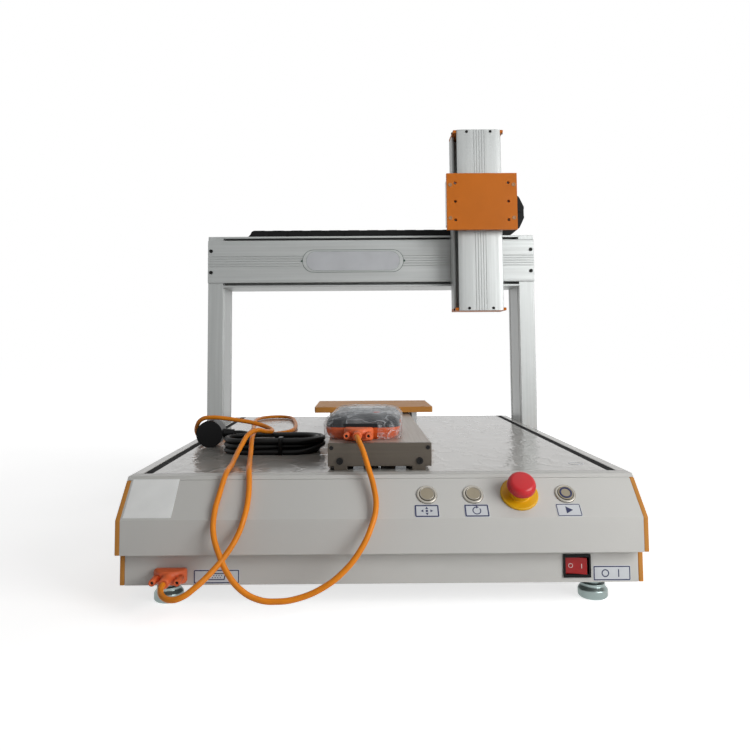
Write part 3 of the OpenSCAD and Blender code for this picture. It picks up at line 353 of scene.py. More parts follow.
# finish of each CAD node that shows
NODE_FINISH = {
    "panel": ["front_panel", "plinth_panel", "rear_panel"],
    "pan": ["base_pan"],
    "table": ["table_plate"],
    "orange": ["tool_plate", "z_end_plates"],
    "side": ["side_plate_left", "side_plate_right", "y_plate"],
    "ridge": ["ridge_cover"],
    "ridge_end": ["ridge_end_plates"],
    "alu_x": ["beam_body", "beam_cover"],
    "alu_z": ["column_left", "column_right", "z_body", "z_cover"],
    "milled": [
        "y_slider", "x_slider", "x_plate", "z_slider", "chain_bracket", "x_drive_pulley",
        "x_idler_pulley", "y_drive_pulley", "y_idler_pulley"],
    "steel": ["y_rails", "x_rail", "z_rail", "z_screw", "inlet_pins"],
    "zinc": ["comm_socket"],
    "oxide": ["frame_screws", "stepper_motors", "z_motor"],
    "chrome": ["button_bezels"],
    "cap": ["manual_button", "reset_button", "start_button"],
    "foot": ["levelling_feet"],
    "rubber": ["slot_strips"],
    "belt": ["x_belt", "y_belt"],
    "chain": ["chain_upper"],
    "black": ["switch_frame", "power_inlet", "mains_plug", "mains_connector"],
    "shell": ["pendant_upper_shell"],
    "shell_orange": ["pendant_lower_shell"],
    "red": ["estop_head"],
    "rocker": ["rocker"],
    "yellow": ["estop_ring"],
}

# edge rounding of those nodes, in millimetres
FINE_EDGE = 0.3
SOFT_EDGES = {
    1.2: ["front_panel", "plinth_panel", "table_plate", "mains_plug", "mains_connector"],
    0.8: [
        "side_plate_left", "side_plate_right", "rear_panel", "y_plate", "tool_plate", "column_left",
        "column_right", "beam_body", "ridge_cover", "z_body", "estop_ring", "levelling_feet"],
    0.5: [
        "beam_cover", "z_cover", "z_end_plates", "ridge_end_plates", "y_slider", "x_plate", "x_slider",
        "z_slider", "chain_bracket", "button_bezels", "switch_frame", "rocker", "power_inlet", "comm_socket",
        "z_motor", "stepper_motors"],
    FINE_EDGE: [
        "manual_button", "reset_button", "start_button", "frame_screws", "chain_upper", "x_drive_pulley",
        "y_drive_pulley", "slot_strips"],
    0.15: ["estop_head"],
}


def dress_nodes(finishes):
    for key, names in NODE_FINISH.items():
        for name in names:
            slots = NODES[name].data.materials
            slots.clear()
            slots.append(finishes[key].material)
    for width, names in SOFT_EDGES.items():
        for name in names:
            soften(NODES[name], width)


def soften(piece, width):
    """Small rounded edges that catch the light, without touching the mesh itself."""
    weld = piece.modifiers.new("weld", "WELD")
    weld.merge_threshold = 0.00002
    flat = piece.modifiers.new("flat_faces", "DECIMATE")
    flat.decimate_type = "DISSOLVE"
    flat.angle_limit = math.radians(0.5)
    bevel = piece.modifiers.new("bevel", "BEVEL")
    bevel.width = width * MM
    bevel.segments = 2
    bevel.limit_method = "ANGLE"
    bevel.angle_limit = math.radians(32)
    normals = piece.modifiers.new("normals", "WEIGHTED_NORMAL")
    normals.weight = 90
    for face in piece.data.polygons:
        face.use_smooth = True


# leads

# route of the pendant's cable as in the source, from the port to the pendant
CABLE_POINTS = [
    (-220, -365, 39), (-219.5, -374, 38), (-215, -384, 34.5), (-205, -390, 33), (-194, -391, 36),
    (-183, -387, 43), (-173, -380, 51), (-158, -368, 67), (-147, -358, 84.5), (-141.5, -350, 101),
    (-140, -338, 113.5), (-141, -322, 129), (-144, -305, 141.5), (-148, -280, 140.4), (-152, -250, 139.4),
    (-156, -222, 140.4), (-158, -203, 146), (-160, -184, 157), (-162, -163, 160.6), (-166, -125, 160.6),
    (-171, -90, 160.4), (-179, -52, 156), (-185, -13, 149.5), (-190, 27, 146.4), (-196, 66, 142.6),
    (-203, 110, 139.4), (-211, 165, 139.4), (-217, 220, 139.4), (-218, 268, 139.4), (-207, 302, 139.4),
    (-186, 315, 139.4), (-165, 304, 139.4), (-152, 272, 139.4), (-143, 220, 139.4), (-136, 165, 139.4),
    (-133, 115, 139.4), (-136, 75, 139.4), (-147, 47, 139.4), (-166, 32, 139.4), (-190, 26, 139.4),
    (-215, 18, 139.4), (-238, 0, 139.4), (-253, -24, 140), (-260, -48, 149), (-257, -66, 164),
    (-247, -76, 174.5), (-234, -79, 176.8), (-214, -80, 175.4), (-193, -81, 172.5), (-172, -84, 169),
    (-156, -91, 165), (-145, -104, 162), (-143, -121, 161.6), (-148, -142, 164), (-156, -162, 168),
    (-164, -182, 165.5), (-170, -203, 153.5), (-173, -229, 142.6), (-171, -262, 139.6), (-168, -294, 141),
    (-168, -313, 138), (-171, -330, 121), (-173, -346, 104.5), (-171, -359, 86), (-163, -368, 68),
    (-154, -374, 53), (-140, -379, 38.5), (-122, -381, 29.5), (-104, -381, 27.6), (-84, -380, 30),
    (-60, -378, 39), (-40, -374, 52.5), (-23, -367, 71), (-11, -358, 93), (-6, -346, 110),
    (-8, -331, 127.5), (-14, -317, 147), (-20, -305, 164), (-24.5, -295, 172.5), (-25.6, -285, 174),
]
# last stretch of the mains lead, from the hank to the plug
LEAD_POINTS = [
    (-172, -91.6, 153.5), (-179, -87.6, 153.8), (-185, -82, 154.2), (-191, -77.6, 154.5),
    (-196, -76, 154.5), (-201.2, -76, 154.5),
]
# the folded lead: its middle, half its straights, the radii of its strands and the heights of its layers
HANK_AT = (-137.0, -128.0)
HANK_HALF = 29.0
STRANDS = (28.5, 35.5)
LAYERS = (139.5, 146.5, 153.5)
# turns made so far, strand and layer
HANK_KEYS = [
    (0, 0, 0), (0.83, 0, 0), (1.0, 1, 0), (1.67, 1, 0), (1.83, 1, 1), (2.5, 1, 1), (2.67, 0, 1),
    (3.33, 0, 1), (3.5, 0, 2), (4.17, 0, 2), (4.33, 1, 2), (5.16, 1, 2),
]


def eased(share):
    """Smooth step from 0 to 1."""
    return share * share * (3 - 2 * share)


def hank_point(turns):
    """Point of the folded lead after some turns; a turn is a straight, a half circle, and both again."""
    for start, end in zip(HANK_KEYS, HANK_KEYS[1:]):
        if turns <= end[0] + 1e-9:
            break
    share = eased((turns - start[0]) / (end[0] - start[0]))
    radius = STRANDS[start[1]] + share * (STRANDS[end[1]] - STRANDS[start[1]])
    height = LAYERS[start[2]] + share * (LAYERS[end[2]] - LAYERS[start[2]])
    part = turns % 1 * 6  # a straight is one sixth of a turn, a half circle two
    if part < 1:
        x, y = HANK_HALF * (1 - 2 * part), radius
    elif part < 3:
        angle = math.pi / 2 * part
        x, y = -HANK_HALF + radius * math.cos(angle), radius * math.sin(angle)
    elif part < 4:
        x, y = HANK_HALF * (2 * part - 7), -radius
    else:
        angle = math.pi / 2 * (part - 1)
        x, y = HANK_HALF + radius * math.cos(angle), radius * math.sin(angle)
    return HANK_AT[0] + x, HANK_AT[1] + y, height


def mains_route():
    """From the connector by a half circle into the hank, through its turns and out to the plug."""
    start, centre, radius = (-107.0, -140.0, 145.5), (-107.0, -119.75), 20.25
    bend_steps, hank_steps = 8, 124
    route = [start]
    for step in range(1, bend_steps):
        angle = math.pi * step / bend_steps - math.pi / 2
        drop = eased(step / bend_steps) * (start[2] - LAYERS[0])
        route.append((
            centre[0] + radius * math.cos(angle), centre[1] + radius * math.sin(angle), start[2] - drop))
    route += [hank_point(HANK_KEYS[-1][0] * i / hank_steps) for i in range(hank_steps + 1)]
    return route + LEAD_POINTS


def lead_piece(name, points, diameter, finish):
    """Round cord through some points."""
    curve = bpy.data.curves.new(name, "CURVE")
    curve.dimensions = "3D"
    curve.bevel_depth = diameter * MM / 2
    curve.bevel_resolution = 5
    curve.resolution_u = 6
    spline = curve.splines.new("BEZIER")
    spline.bezier_points.add(len(points) - 1)
    for knot, point in zip(spline.bezier_points, points):
        knot.co = mm(*point)
        knot.handle_left_type = knot.handle_right_type = "AUTO"
    curve.materials.append(finish.material)
    piece = bpy.data.objects.new(name, curve)
    bpy.context.collection.objects.link(piece)
    return piece


def add_leads(finishes):
    hoods = add_hoods(finishes)
    cable = lead_piece("pendant_cable_jacket", CABLE_POINTS, 6.0, finishes["cable"])
    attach(cable, "base")
    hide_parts("pendant_cable")
    route = mains_route()
    lead = lead_piece("mains_lead_jacket", route, 7.0, finishes["cord"])
    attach(lead, "base")
    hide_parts("mains_hank", "mains_lead")


# small pieces

def mesh_piece(name, builder, finishes, body):
    """A mesh object from a bmesh builder, which rides on a body."""
    bm = bmesh.new()
    builder(bm)
    mesh = bpy.data.meshes.new(name)
    bmesh.ops.recalc_face_normals(bm, faces=bm.faces)
    bm.to_mesh(mesh)
    bm.free()
    for finish in finishes:
        mesh.materials.append(finish.material)
    piece = bpy.data.objects.new(name, mesh)
    bpy.context.collection.objects.link(piece)
    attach(piece, body)
    return piece


def ring_of(bm, matrix, outline, height):
    """Points of an outline at a height above a place."""
    return [bm.verts.new(matrix @ Vector((x * MM, y * MM, height * MM))) for x, y in outline]


def bridge(bm, lower, upper, material=0):
    """Faces between two rings."""
    count = len(lower)
    for i in range(count):
        k = (i + 1) % count
        face = bm.faces.new((lower[i], lower[k], upper[k], upper[i]))
        face.material_index = material
        face.smooth = True


def skin(bm, rings, material=0):
    """Faces between each ring and the next."""
    for lower, upper in zip(rings, rings[1:]):
        bridge(bm, lower, upper, material)


def cap(bm, ring, material=0):
    face = bm.faces.new(ring)
    face.material_index = material


def rounded(width, height, radius):
    """Outline of a rounded rectangle round the origin."""
    steps = 6
    points = []
    for turn, (sx, sy) in enumerate(((1, 1), (-1, 1), (-1, -1), (1, -1))):
        for i in range(steps + 1):
            angle = math.pi / 2 * (turn + i / steps)
            points.append((
                sx * (width / 2 - radius) + radius * math.cos(angle),
                sy * (height / 2 - radius) + radius * math.sin(angle)))
    return points


def circle(diameter, count=32):
    return [(
        diameter / 2 * math.cos(2 * math.pi * i / count), diameter / 2 * math.sin(2 * math.pi * i / count))
        for i in range(count)]


def polygon(diameter, sides, count):
    """Outline with flat sides across a diameter, on as many points as a circle."""
    points = []
    for x, y in circle(1, count):
        angle = math.atan2(y, x) % (2 * math.pi / sides) - math.pi / sides
        reach = diameter / 2 / math.cos(angle)
        length = math.hypot(x, y)
        points.append((x / length * reach, y / length * reach))
    return points


def facing(at, right, up):
    """Matrix of a flat place: x to the right, y up, z out of the surface."""
    right, up = Vector(right).normalized(), Vector(up).normalized()
    return Matrix.Translation(mm(*at)) @ Matrix((right, up, right.cross(up))).transposed().to_4x4()


def on_slope(x, up):
    at = (x, FRONT_Y + up * math.cos(SLOPE), SLOPE_Z + up * math.sin(SLOPE))
    return facing(at, (1, 0, 0), (0, math.cos(SLOPE), math.sin(SLOPE)))


def on_front(x, y, z):
    return facing((x, y, z), (1, 0, 0), (0, 0, 1))


def on_top(x, y, z):
    return facing((x, y, z), (1, 0, 0), (0, 1, 0))


def label(bm, matrix, width, height, radius, line, inset, lift=0.25, ground=0):
    """Bare plate with a printed border line; material 1 is the line."""
    chamfer, chamfer_drop, least_radius = 0.08, 0.05, 0.3

    def outline(by):
        return rounded(width + 2 * by, height + 2 * by, max(radius + by, least_radius))

    foot = ring_of(bm, matrix, outline(0), -SINK)
    edge = ring_of(bm, matrix, outline(0), lift - chamfer_drop)
    top = ring_of(bm, matrix, outline(-chamfer), lift)
    outer = ring_of(bm, matrix, outline(-inset), lift)
    inner = ring_of(bm, matrix, outline(-inset - line), lift)
    skin(bm, [foot, edge, top, outer], ground)
    bridge(bm, outer, inner, 1)
    cap(bm, inner, ground)


def screw(bm, matrix, diameter, height):
    """Cap screw head with a hexagon recess that narrows a little."""
    count, sides = 24, 6
    rim, floor = 0.75 * height, 0.3 * height
    face, recess, narrowing = 0.9 * diameter, 0.55 * diameter, 0.94
    rings = [
        ring_of(bm, matrix, circle(diameter, count), -SINK),
        ring_of(bm, matrix, circle(diameter, count), rim),
        ring_of(bm, matrix, circle(face, count), height),
        ring_of(bm, matrix, polygon(recess, sides, count), height),
        ring_of(bm, matrix, polygon(recess * narrowing, sides, count), floor),
    ]
    skin(bm, rings)
    cap(bm, rings[-1])


def sign(bm, matrix, outline):
    """Flat printed shape on a label plate, in its line material."""
    foot, top = 0.2, 0.32
    rings = [ring_of(bm, matrix, outline, height) for height in (foot, top)]
    skin(bm, rings, 1)
    cap(bm, rings[-1], 1)


def arc_band(radius, thick, start, end):
    """Outline of part of a ring between two angles in degrees."""
    steps = 20
    angles = [math.radians(start + (end - start) * i / steps) for i in range(steps + 1)]

    def edge(reach, turns):
        return [(reach * math.cos(angle), reach * math.sin(angle)) for angle in turns]

    return edge(radius, angles) + edge(radius - thick, reversed(angles))


def triangle(x, y, size, turn):
    """Outline of an arrow head round a point, which points along an angle in degrees."""
    return [(
        x + size * math.cos(math.radians(turn + step)), y + size * math.sin(math.radians(turn + step)))
        for step in (0, 120, 240)]


def shifted(outline, x, y=0.0):
    return [(px + x, py + y) for px, py in outline]


def add_labels(finishes):
    white, pale, navy, green = (finishes[key] for key in ("white", "pale", "navy", "green"))
    arrow, reach_x, reach_y = 1.9, 4.6, 3.2
    # place along X, width of the border line and signs of each control's label
    controls = {
        "manual": (47, 1.5, [
            triangle(0, reach_y, arrow, 90), triangle(0, -reach_y, arrow, 270),
            triangle(-reach_x, 0, arrow, 180), triangle(reach_x, 0, arrow, 0), rounded(2.4, 2.4, 0.5)]),
        "reset": (99, 1.5, [arc_band(4.6, 1.1, 100, 395), triangle(0.6, 4.1, 2.0, 0)]),
        "start": (195, 0.9, [triangle(-0.6, 0, 4.8, 0)]),
    }
    for name, (x, line, signs) in controls.items():
        place = on_slope(x, LABEL_UP)

        def control_plate(bm):
            label(bm, place, width=26, height=15.2, radius=2, line=line, inset=0.5)
            for outline in signs:
                sign(bm, place, outline)

        mesh_piece(name + "_label", control_plate, (pale, navy), "base")
    mesh_piece("switch_label", switch_plate, (pale, navy), "base")
    mesh_piece("port_label", port_plate, (pale, navy), "base")
    mesh_piece("blank_plate", blank_plate, (white, pale), "base")
    mesh_piece("beam_plate", beam_plate, (finishes["alu_x"], green, pale), "base")


def switch_plate(bm):
    """Label with a circle in two halves and a bar."""
    place, sign_x, stroke = on_front(241.7, PLINTH_Y, 36.2), 7, 1.1
    label(bm, place, width=39.5, height=15.6, radius=1.6, line=1.1, inset=0.5)
    sign(bm, place, shifted(rounded(stroke, 8, 0.3), sign_x))
    for start in (0, 180):
        sign(bm, place, shifted(arc_band(4, stroke, start, start + 180), -sign_x))


def port_plate(bm):
    """Label with the outline of a nine pin port."""
    place = on_front(-173.5, PLINTH_Y, 35.7)
    label(bm, place, width=48.4, height=14.6, radius=1.6, line=1.1, inset=0.5)
    shell = [(-10, 3.6), (-8.4, -3.6), (8.4, -3.6), (10, 3.6)]
    inner = [(-8.7, 2.6), (-7.5, -2.6), (7.5, -2.6), (8.7, 2.6)]
    for i in range(4):
        k = (i + 1) % 4
        sign(bm, place, [shell[i], shell[k], inner[k], inner[i]])
    pin_d, pin_pitch, row_y = 1.2, 2.7, 1.1
    for count, y in ((5, row_y), (4, -row_y)):
        for i in range(count):
            sign(bm, place, shifted(circle(pin_d, 10), pin_pitch * (i - (count - 1) / 2), y))


def blank_plate(bm):
    label(bm, on_slope(-243.0, 26.5), width=50, height=47.6, radius=0.6, line=0.15, inset=0.4)


def beam_plate(bm):
    """Bare pill on the beam: a printed line, a metal border and a pale field ringed by a thin line of
    painted shadow, with a nub at each end.
    """
    place, field_lift, nub_x = on_front(-33.5, COVER_Y, 436), 0.25, 95
    label(bm, place, width=189, height=43, radius=21, line=0.8, inset=0.3, lift=0.3)
    field = place @ Matrix.Translation(mm(0, 0, field_lift))
    # the thin dark line round the pale field is painted shadow at its edge
    label(bm, field, width=174, height=36, radius=17, line=0.35, inset=0.2, lift=0.3, ground=2)
    for side in (-1, 1):
        nub = place @ Matrix.Translation(mm(side * nub_x, 0, 0))
        rings = [ring_of(bm, nub, circle(4.4, 16), -SINK), ring_of(bm, nub, circle(3.8, 16), 0.4)]
        skin(bm, rings, 1)
        cap(bm, rings[-1], 1)


def side_screws(bm, middle_x, reach, y, heights, diameter, height):
    """Screws on the right and left faces of a part, at some heights."""
    for z in heights:
        for side in (1, -1):
            place = facing((middle_x + side * reach, y, z), (0, side, 0), (0, 0, 1))
            screw(bm, place, diameter, height)


def add_screws(finishes):
    tool_x, tool_z = 55, 29
    cover_x, cover_z = 21, (342.5, 656.5)

    def tool_screws(bm):
        for x in (-tool_x, tool_x):
            for z in (-tool_z, tool_z):
                place = on_front(TOOL_MIDDLE.x + x, TOOL_FACE, TOOL_MIDDLE.z + z)
                screw(bm, place, diameter=6.8, height=0.6)

    def cover_screws(bm):
        for x in (-cover_x, cover_x):
            for z in cover_z:
                screw(bm, on_front(TOOL_MIDDLE.x + x, Z_COVER_FACE, z), diameter=5.0, height=1.2)
        side_screws(bm, TOOL_MIDDLE.x, reach=44.4, y=146, heights=(341, 658), diameter=4.2, height=1.8)

    def base_screws(bm):
        side_screws(bm, 0, reach=275, y=-318, heights=(64, 78), diameter=7, height=2.4)

    # the orange brown tint of these steel screws is a painted reflection of the tool plate
    mesh_piece("tool_plate_screws", tool_screws, [finishes["steel_with_painted_reflection"]], "z_carriage")
    mesh_piece("z_cover_screws", cover_screws, [finishes["oxide"]], "x_carriage")
    mesh_piece("side_plate_screws", base_screws, [finishes["oxide"]], "base")


def flat_ring(bm, matrix, outer, inner, lift):
    """Thin raised ring."""
    count = 40
    rings = [
        ring_of(bm, matrix, circle(diameter, count), height)
        for diameter, height in ((outer, 0), (outer, lift), (inner, lift), (inner, 0))]
    skin(bm, rings + rings[:1])


def slab(bm, matrix, width, height, radius, lift, material=0, edge=0.3):
    """Rounded plate with a small chamfer."""
    least_radius = 0.2
    foot = rounded(width, height, radius)
    top = rounded(width - 2 * edge, height - 2 * edge, max(radius - edge, least_radius))
    rings = [
        ring_of(bm, matrix, foot, -SINK), ring_of(bm, matrix, foot, lift - edge),
        ring_of(bm, matrix, top, lift)]
    skin(bm, rings, material)
    cap(bm, rings[-1], material)


def hood(bm, place):
    """Connector hood: a flange, a body that narrows to the cable, and two knurled thumb screws with a round
    recess in each end.
    """
    # depth, width, height and corner radius of each section
    sections = [
        (0.4, 31, 12.5, 3), (3.0, 31, 12.5, 3), (3.3, 33, 14, 3), (4.2, 34, 15, 3), (8.6, 34, 15, 3),
        (9.4, 33.4, 14.6, 3), (16.6, 19, 13.8, 4), (17.6, 16.4, 13, 4.5), (18.2, 11.4, 11.4, 5.4),
        (27, 10.8, 10.8, 5.2), (32.8, 10.2, 10.2, 4.9), (33.7, 9.6, 9.6, 4.6), (34, 8.6, 8.6, 4.1)]
    rings = [ring_of(bm, place, rounded(w, h, r), depth) for depth, w, h, r in sections]
    skin(bm, rings)
    cap(bm, rings[0])
    cap(bm, rings[-1])
    screw_x, flute = 12.6, 0.07
    knurl = [(x * (1 - flute * (i % 2)), y * (1 - flute * (i % 2))) for i, (x, y) in enumerate(circle(7.2))]
    # outline and depth of each ring of a thumb screw
    turned = [
        (circle(5.2), 8), (circle(5.2), 13), (knurl, 13.4), (knurl, 29.4), (circle(6.2), 30.4),
        (circle(3.4), 30.4), (circle(3.2), 28.6)]
    for side in (-1, 1):
        axis = place @ Matrix.Translation(mm(side * screw_x, 0, 0))
        rings = [ring_of(bm, axis, outline, depth) for outline, depth in turned]
        skin(bm, rings)
        cap(bm, rings[0])
        cap(bm, rings[-1], 1)


def add_hoods(finishes):
    port = middle("port_plug")
    turn = Matrix.Rotation(PENDANT_YAW, 4, "Z")
    socket = pendant_place(PLUG_X, -PENDANT_HALF[1], RIDGE_TOP + PLUG_UP).translation / MM
    places = {
        "port_plug": on_front(port.x, PLINTH_Y, port.z),
        "pendant_plug": facing(socket, turn @ Vector((1, 0, 0)), (0, 0, 1)),
    }
    hoods = []
    for node, place in places.items():
        piece = mesh_piece(
            node + "_hood", lambda bm: hood(bm, place), (finishes["hood"], finishes["black"]), "base")
        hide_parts(node)
        hoods.append(piece)
    return hoods


def add_control_marks(finishes):
    cap_top = 2.8
    for name, outer, inner, lift, finish in (
            ("start", 13.4, 9.6, 0.2, "navy"), ("manual", 15.2, 14.0, 0.25, "chrome"),
            ("reset", 15.2, 14.0, 0.25, "chrome")):
        button = name + "_button"
        place = on_slope(middle(button).x, BUTTON_UP) @ Matrix.Translation(mm(0, 0, cap_top))
        mesh_piece(name + "_ring", lambda bm: flat_ring(
            bm, place, outer, inner, lift), [finishes[finish]], button)
    mesh_piece("rocker_marks", rocker_marks, [finishes["white"]], "power_rocker")
    seal = on_top(233, -246, TABLE_Z)
    mesh_piece("film_seal", lambda bm: flat_ring(
        bm, seal, outer=17, inner=14, lift=0.15), [finishes["pale"]], "base")


def rocker_marks(bm):
    """A circle and a bar on the two halves of the rocker, which is lower in the middle."""
    pivot, depth, tilt = (205.0, PLINTH_Y + 4, 44.2), 4.6, math.radians(-12)
    rise, mark_x = 1 / 11, 5.6
    turn = Matrix.Translation(mm(*pivot)) @ Matrix.Rotation(tilt, 4, "Z")

    def half(side):
        return turn @ facing((side * mark_x, -depth - mark_x * rise, 0), (1, -side * rise, 0), (0, 0, 1))

    flat_ring(bm, half(-1), outer=4.6, inner=3.7, lift=0.2)
    slab(bm, half(1), width=0.6, height=4.6, radius=0.25, lift=0.2, edge=0.05)


# pendant

def pendant_place(x, y, z):
    return Matrix.Translation(mm(PENDANT_AT[0], PENDANT_AT[1], z)) @ Matrix.Rotation(
        PENDANT_YAW, 4, "Z") @ Matrix.Translation(mm(x, y, 0))


def pendant_outline(grow, count):
    """The pendant's outline as in the source: rounded, and drawn in at the waist."""
    power, waist = 0.42, 7.0
    half_w, half_l = PENDANT_HALF[0] + grow, PENDANT_HALF[1] + grow

    def bend(value):
        return math.copysign(abs(value) ** power, value)

    points = []
    for i in range(count):
        angle = 2 * math.pi * (i + 0.5) / count
        x, y = half_w * bend(math.cos(angle)), half_l * bend(math.sin(angle))
        points.append((x * (1 - waist / half_w * (1 - (y / half_l) ** 2)), y))
    return points


def add_pendant_face(finishes):
    inset, thick, chamfer, count = -17.0, 0.4, 0.15, 96
    rows, columns, red_key = 5, 4, (4, 3)
    pitch_x, pitch_y, first_y, display_y = 10.6, 11, 8, 35

    def face(bm):
        place = pendant_place(0, 0, PENDANT_TOP)
        edge, top = pendant_outline(inset, count), pendant_outline(inset - chamfer, count)
        rings = [
            ring_of(bm, place, edge, -SINK), ring_of(bm, place, edge, thick - chamfer),
            ring_of(bm, place, top, thick)]
        skin(bm, rings)
        cap(bm, rings[-1])
        display = pendant_place(0, display_y, PENDANT_TOP + thick)
        slab(bm, display, width=48, height=32, radius=2, lift=0.3, material=1)
        for row in range(rows):
            for column in range(columns):
                x, y = pitch_x * (column - (columns - 1) / 2), first_y - pitch_y * row
                material = 3 if (row, column) == red_key else 2
                key = pendant_place(x, y, PENDANT_TOP + thick)
                slab(bm, key, width=8.4, height=8, radius=1.8, lift=0.6, material=material, edge=0.25)

    mesh_piece("pendant_keypad", face, (
        finishes["panel_dark"], finishes["glass"], finishes["key"], finishes["red"]), "base")


def film_level(grow, height, count):
    """Points of one level of the film, pushed in and out by its creases."""
    crease_scale, fine_scale = 0.055, 3.1
    crease, sharpness, fine = 1.3, 2.6, 0.7
    side_share, top_share, top_from = 0.9, 0.15, 26
    lift_share, lift_from, lowest = 0.8, 22, 0.6
    points = []
    for x, y in pendant_outline(grow, count):
        spot = Vector((x, y, height)) * crease_scale
        out = crease * (1 - abs(noise.noise(spot)) * sharpness) + fine * noise.noise(spot * fine_scale)
        side = Vector((x, y, 0)).normalized() * (side_share if height < top_from else top_share)
        point = Vector((x, y, height)) + out * side
        point.z = max(point.z + (lift_share * out if height > lift_from else 0), lowest)
        points.append(point)
    return points


def add_pendant_film(finishes):
    """Clear bag drawn loosely over the pendant, creased all round, open underneath and at the plug."""
    # growth of the pendant's outline and height above the ridge, level by level
    levels = [
        (1.2, 0.8), (1.4, 4.0), (1.8, 8.0), (2.2, 12.0), (2.4, 16.0), (2.0, 19.0), (0.9, 22.0), (-1.6, 24.8),
        (-5.0, 27.0), (-9.5, 28.8), (-14.5, 29.8), (-20.0, 30.2), (-27.0, 30.4), (-36.0, 30.4)]
    count = 180
    plug_half, plug_back, plug_top = 20.0, -70.0, 17.0

    def at_plug(point):
        return abs(point.x - PLUG_X) < plug_half and point.y < plug_back and point.z < plug_top

    def sheet(bm):
        place = pendant_place(0, 0, RIDGE_TOP)
        rows = [film_level(grow, height, count) for grow, height in levels]
        rings = [[bm.verts.new(place @ (point * MM)) for point in row] for row in rows]
        for row, lower, upper in zip(rows, rings, rings[1:]):
            for i in range(count):
                if at_plug(row[i]):
                    continue
                k = (i + 1) % count
                face = bm.faces.new((lower[i], lower[k], upper[k], upper[i]))
                face.smooth = True
        cap(bm, rings[-1])
        bmesh.ops.delete(bm, geom=[v for v in bm.verts if not v.link_faces], context="VERTS")

    film = mesh_piece("pendant_film", sheet, [finishes["film"]], "base")


# drag chain and tie strap

def chain_part(name, cut, keep_left, finish):
    """One side of the chain's lower run, cut across at a place along X."""
    merge_distance = 0.00001
    away = (1 if keep_left else -1, 0, 0)

    def part(bm):
        bm.from_mesh(NODES["chain_lower"].data)
        bmesh.ops.remove_doubles(bm, verts=bm.verts, dist=merge_distance)
        everything = bm.verts[:] + bm.edges[:] + bm.faces[:]
        found = bmesh.ops.bisect_plane(
            bm, geom=everything, plane_co=mm(cut, 0, 0), plane_no=away, clear_outer=True)
        rim = [item for item in found["geom_cut"] if isinstance(item, bmesh.types.BMEdge)]
        bmesh.ops.edgeloop_fill(bm, edges=rim)

    piece = mesh_piece(name, part, [finish], "base")
    soften(piece, FINE_EDGE)
    return piece


def add_chain(finishes):
    """Lower run of the chain in two parts: the foot and the rest of the run."""
    first_pin, pitch = -221.0, 18.0
    cut = first_pin + pitch / 2
    foot = chain_part("chain_foot", cut, True, finishes["chain"])
    run = chain_part("chain_run", cut, False, finishes["chain"])
    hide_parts("chain_lower")
    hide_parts("chain_lower")
    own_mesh(run)


def add_tie(finishes):
    """Tie strap over the folded lead: an arch with rounded shoulders."""
    half_y, top_z, foot_z, shoulder, thick = 8.6, 158.6, 136.05, 3, 0.9
    edges_x, middle_y, steps = (-128.0, -123.0), -160.0, 8

    def arch(inset):
        """Points of the arch along Y and Z, from foot to foot."""
        half, top = half_y - inset, top_z - inset
        points = [(-half, foot_z)]
        for side, start in ((-1, math.pi), (1, math.pi / 2)):
            for i in range(steps + 1):
                angle = start - math.pi / 2 * i / steps
                points.append((
                    side * (half - shoulder) + shoulder * math.cos(angle),
                    top - shoulder + shoulder * math.sin(angle)))
        return points + [(half, foot_z)]

    def strap(bm):
        outer, inner = (
            [[bm.verts.new(mm(x, middle_y + y, z)) for y, z in arch(inset)] for x in edges_x]
            for inset in (0.0, thick))
        sides = ((outer[0], outer[1]), (inner[0], inner[1]), (outer[0], inner[0]), (outer[1], inner[1]))
        for i in range(len(outer[0]) - 1):
            for a, b in sides:
                face = bm.faces.new((a[i], a[i + 1], b[i + 1], b[i]))
                face.smooth = True
        for i in (0, -1):
            bm.faces.new((outer[0][i], outer[1][i], inner[1][i], inner[0][i]))

    mesh_piece("lead_tie", strap, [finishes["black"]], "base")


# light

def seen_directly(tree):
    """1 for what the camera, metal and glass see, and 0 for the light that falls on the object."""
    path = tree.nodes.new("ShaderNodeLightPath")
    value = path.outputs["Is Camera Ray"]
    for name in ("Is Glossy Ray", "Is Transmission Ray"):
        either = tree.nodes.new("ShaderNodeMath")
        either.operation = "MAXIMUM"
        tree.links.new(value, either.inputs[0])
        tree.links.new(path.outputs[name], either.inputs[1])
        value = either.outputs["Value"]
    return value


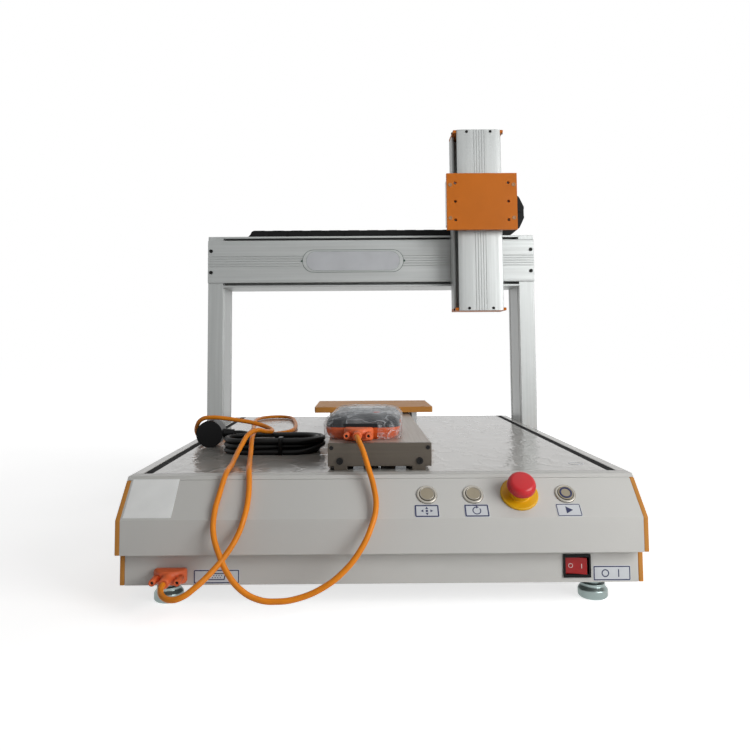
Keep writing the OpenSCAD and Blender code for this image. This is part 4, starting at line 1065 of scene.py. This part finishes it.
def add_stage():
    """White floor that glows a little less near the object, so that its shadow shows."""
    half_size, near, far, near_glow, far_glow = 20, 0.5, 2.0, 0.7, 0.92
    bm = bmesh.new()
    bmesh.ops.create_grid(bm, x_segments=2, y_segments=2, size=half_size)
    mesh = bpy.data.meshes.new("floor")
    bm.to_mesh(mesh)
    bm.free()
    floor = bpy.data.objects.new("floor", mesh)
    paper = powder_coat("floor_paper", (0.8, 0.8, 0.8, 1), 0.9)
    paper.set("Emission Color", (1, 1, 1, 1)).set("Specular IOR Level", 0.0)
    coord, span = paper.nodes.new("ShaderNodeTexCoord"), paper.nodes.new("ShaderNodeVectorMath")
    span.operation = "LENGTH"
    paper.links.new(coord.outputs["Object"], span.inputs[0])
    glow = paper.range(span.outputs["Value"], near_glow, far_glow, near, far)
    paper.join(paper.math("MULTIPLY", seen_directly(paper.material.node_tree), glow), "Emission Strength")
    mesh.materials.append(paper.material)
    bpy.context.collection.objects.link(floor)


def add_light(name, at, target, size, power):
    """Rectangular lamp that points at a target, in metres and watts."""
    data = bpy.data.lights.new(name, "AREA")
    data.shape = "RECTANGLE"
    data.size, data.size_y = size
    data.energy = power
    light = bpy.data.objects.new(name, data)
    light.matrix_world = Matrix.Translation(Vector(at)) @ (
        Vector(target) - Vector(at)).to_track_quat("-Z", "Y").to_matrix().to_4x4()
    bpy.context.collection.objects.link(light)
    return light


def add_world():
    """White all round: bright where it is seen, dim as a light."""
    dim, bright = 0.1, 1.0
    world = bpy.data.worlds.new("studio")
    world.use_nodes = True
    bpy.context.scene.world = world
    tree = world.node_tree
    back = tree.nodes["Background"]
    strength = tree.nodes.new("ShaderNodeMapRange")
    strength.inputs["To Min"].default_value = dim
    strength.inputs["To Max"].default_value = bright
    tree.links.new(seen_directly(tree), strength.inputs["Value"])
    tree.links.new(strength.outputs["Result"], back.inputs["Strength"])
    back.inputs["Color"].default_value = (1, 1, 1, 1)


def add_lights():
    add_light("key", at=(0.95, -1.15, 0.62), target=(0.1, -0.3, 0.15), size=(0.8, 0.7), power=13)
    add_light("top", at=(0.6, -0.5, 2.0), target=(0.1, 0, 0), size=(1.6, 1.6), power=5.5)
    rear = add_light("rear", at=(0.15, 1.9, 0.5), target=(0, 0.2, 0.25), size=(1.2, 0.8), power=6)
    rear.visible_glossy = False
    bpy.context.scene.view_settings.view_transform = "Standard"


def main():
    finishes = make_finishes()
    add_camera()
    add_leads(finishes)
    dress_nodes(finishes)
    add_labels(finishes)
    add_chain(finishes)
    add_screws(finishes)
    add_control_marks(finishes)
    add_pendant_face(finishes)
    add_pendant_film(finishes)
    add_tie(finishes)
    add_stage()
    add_world()
    add_lights()


main()
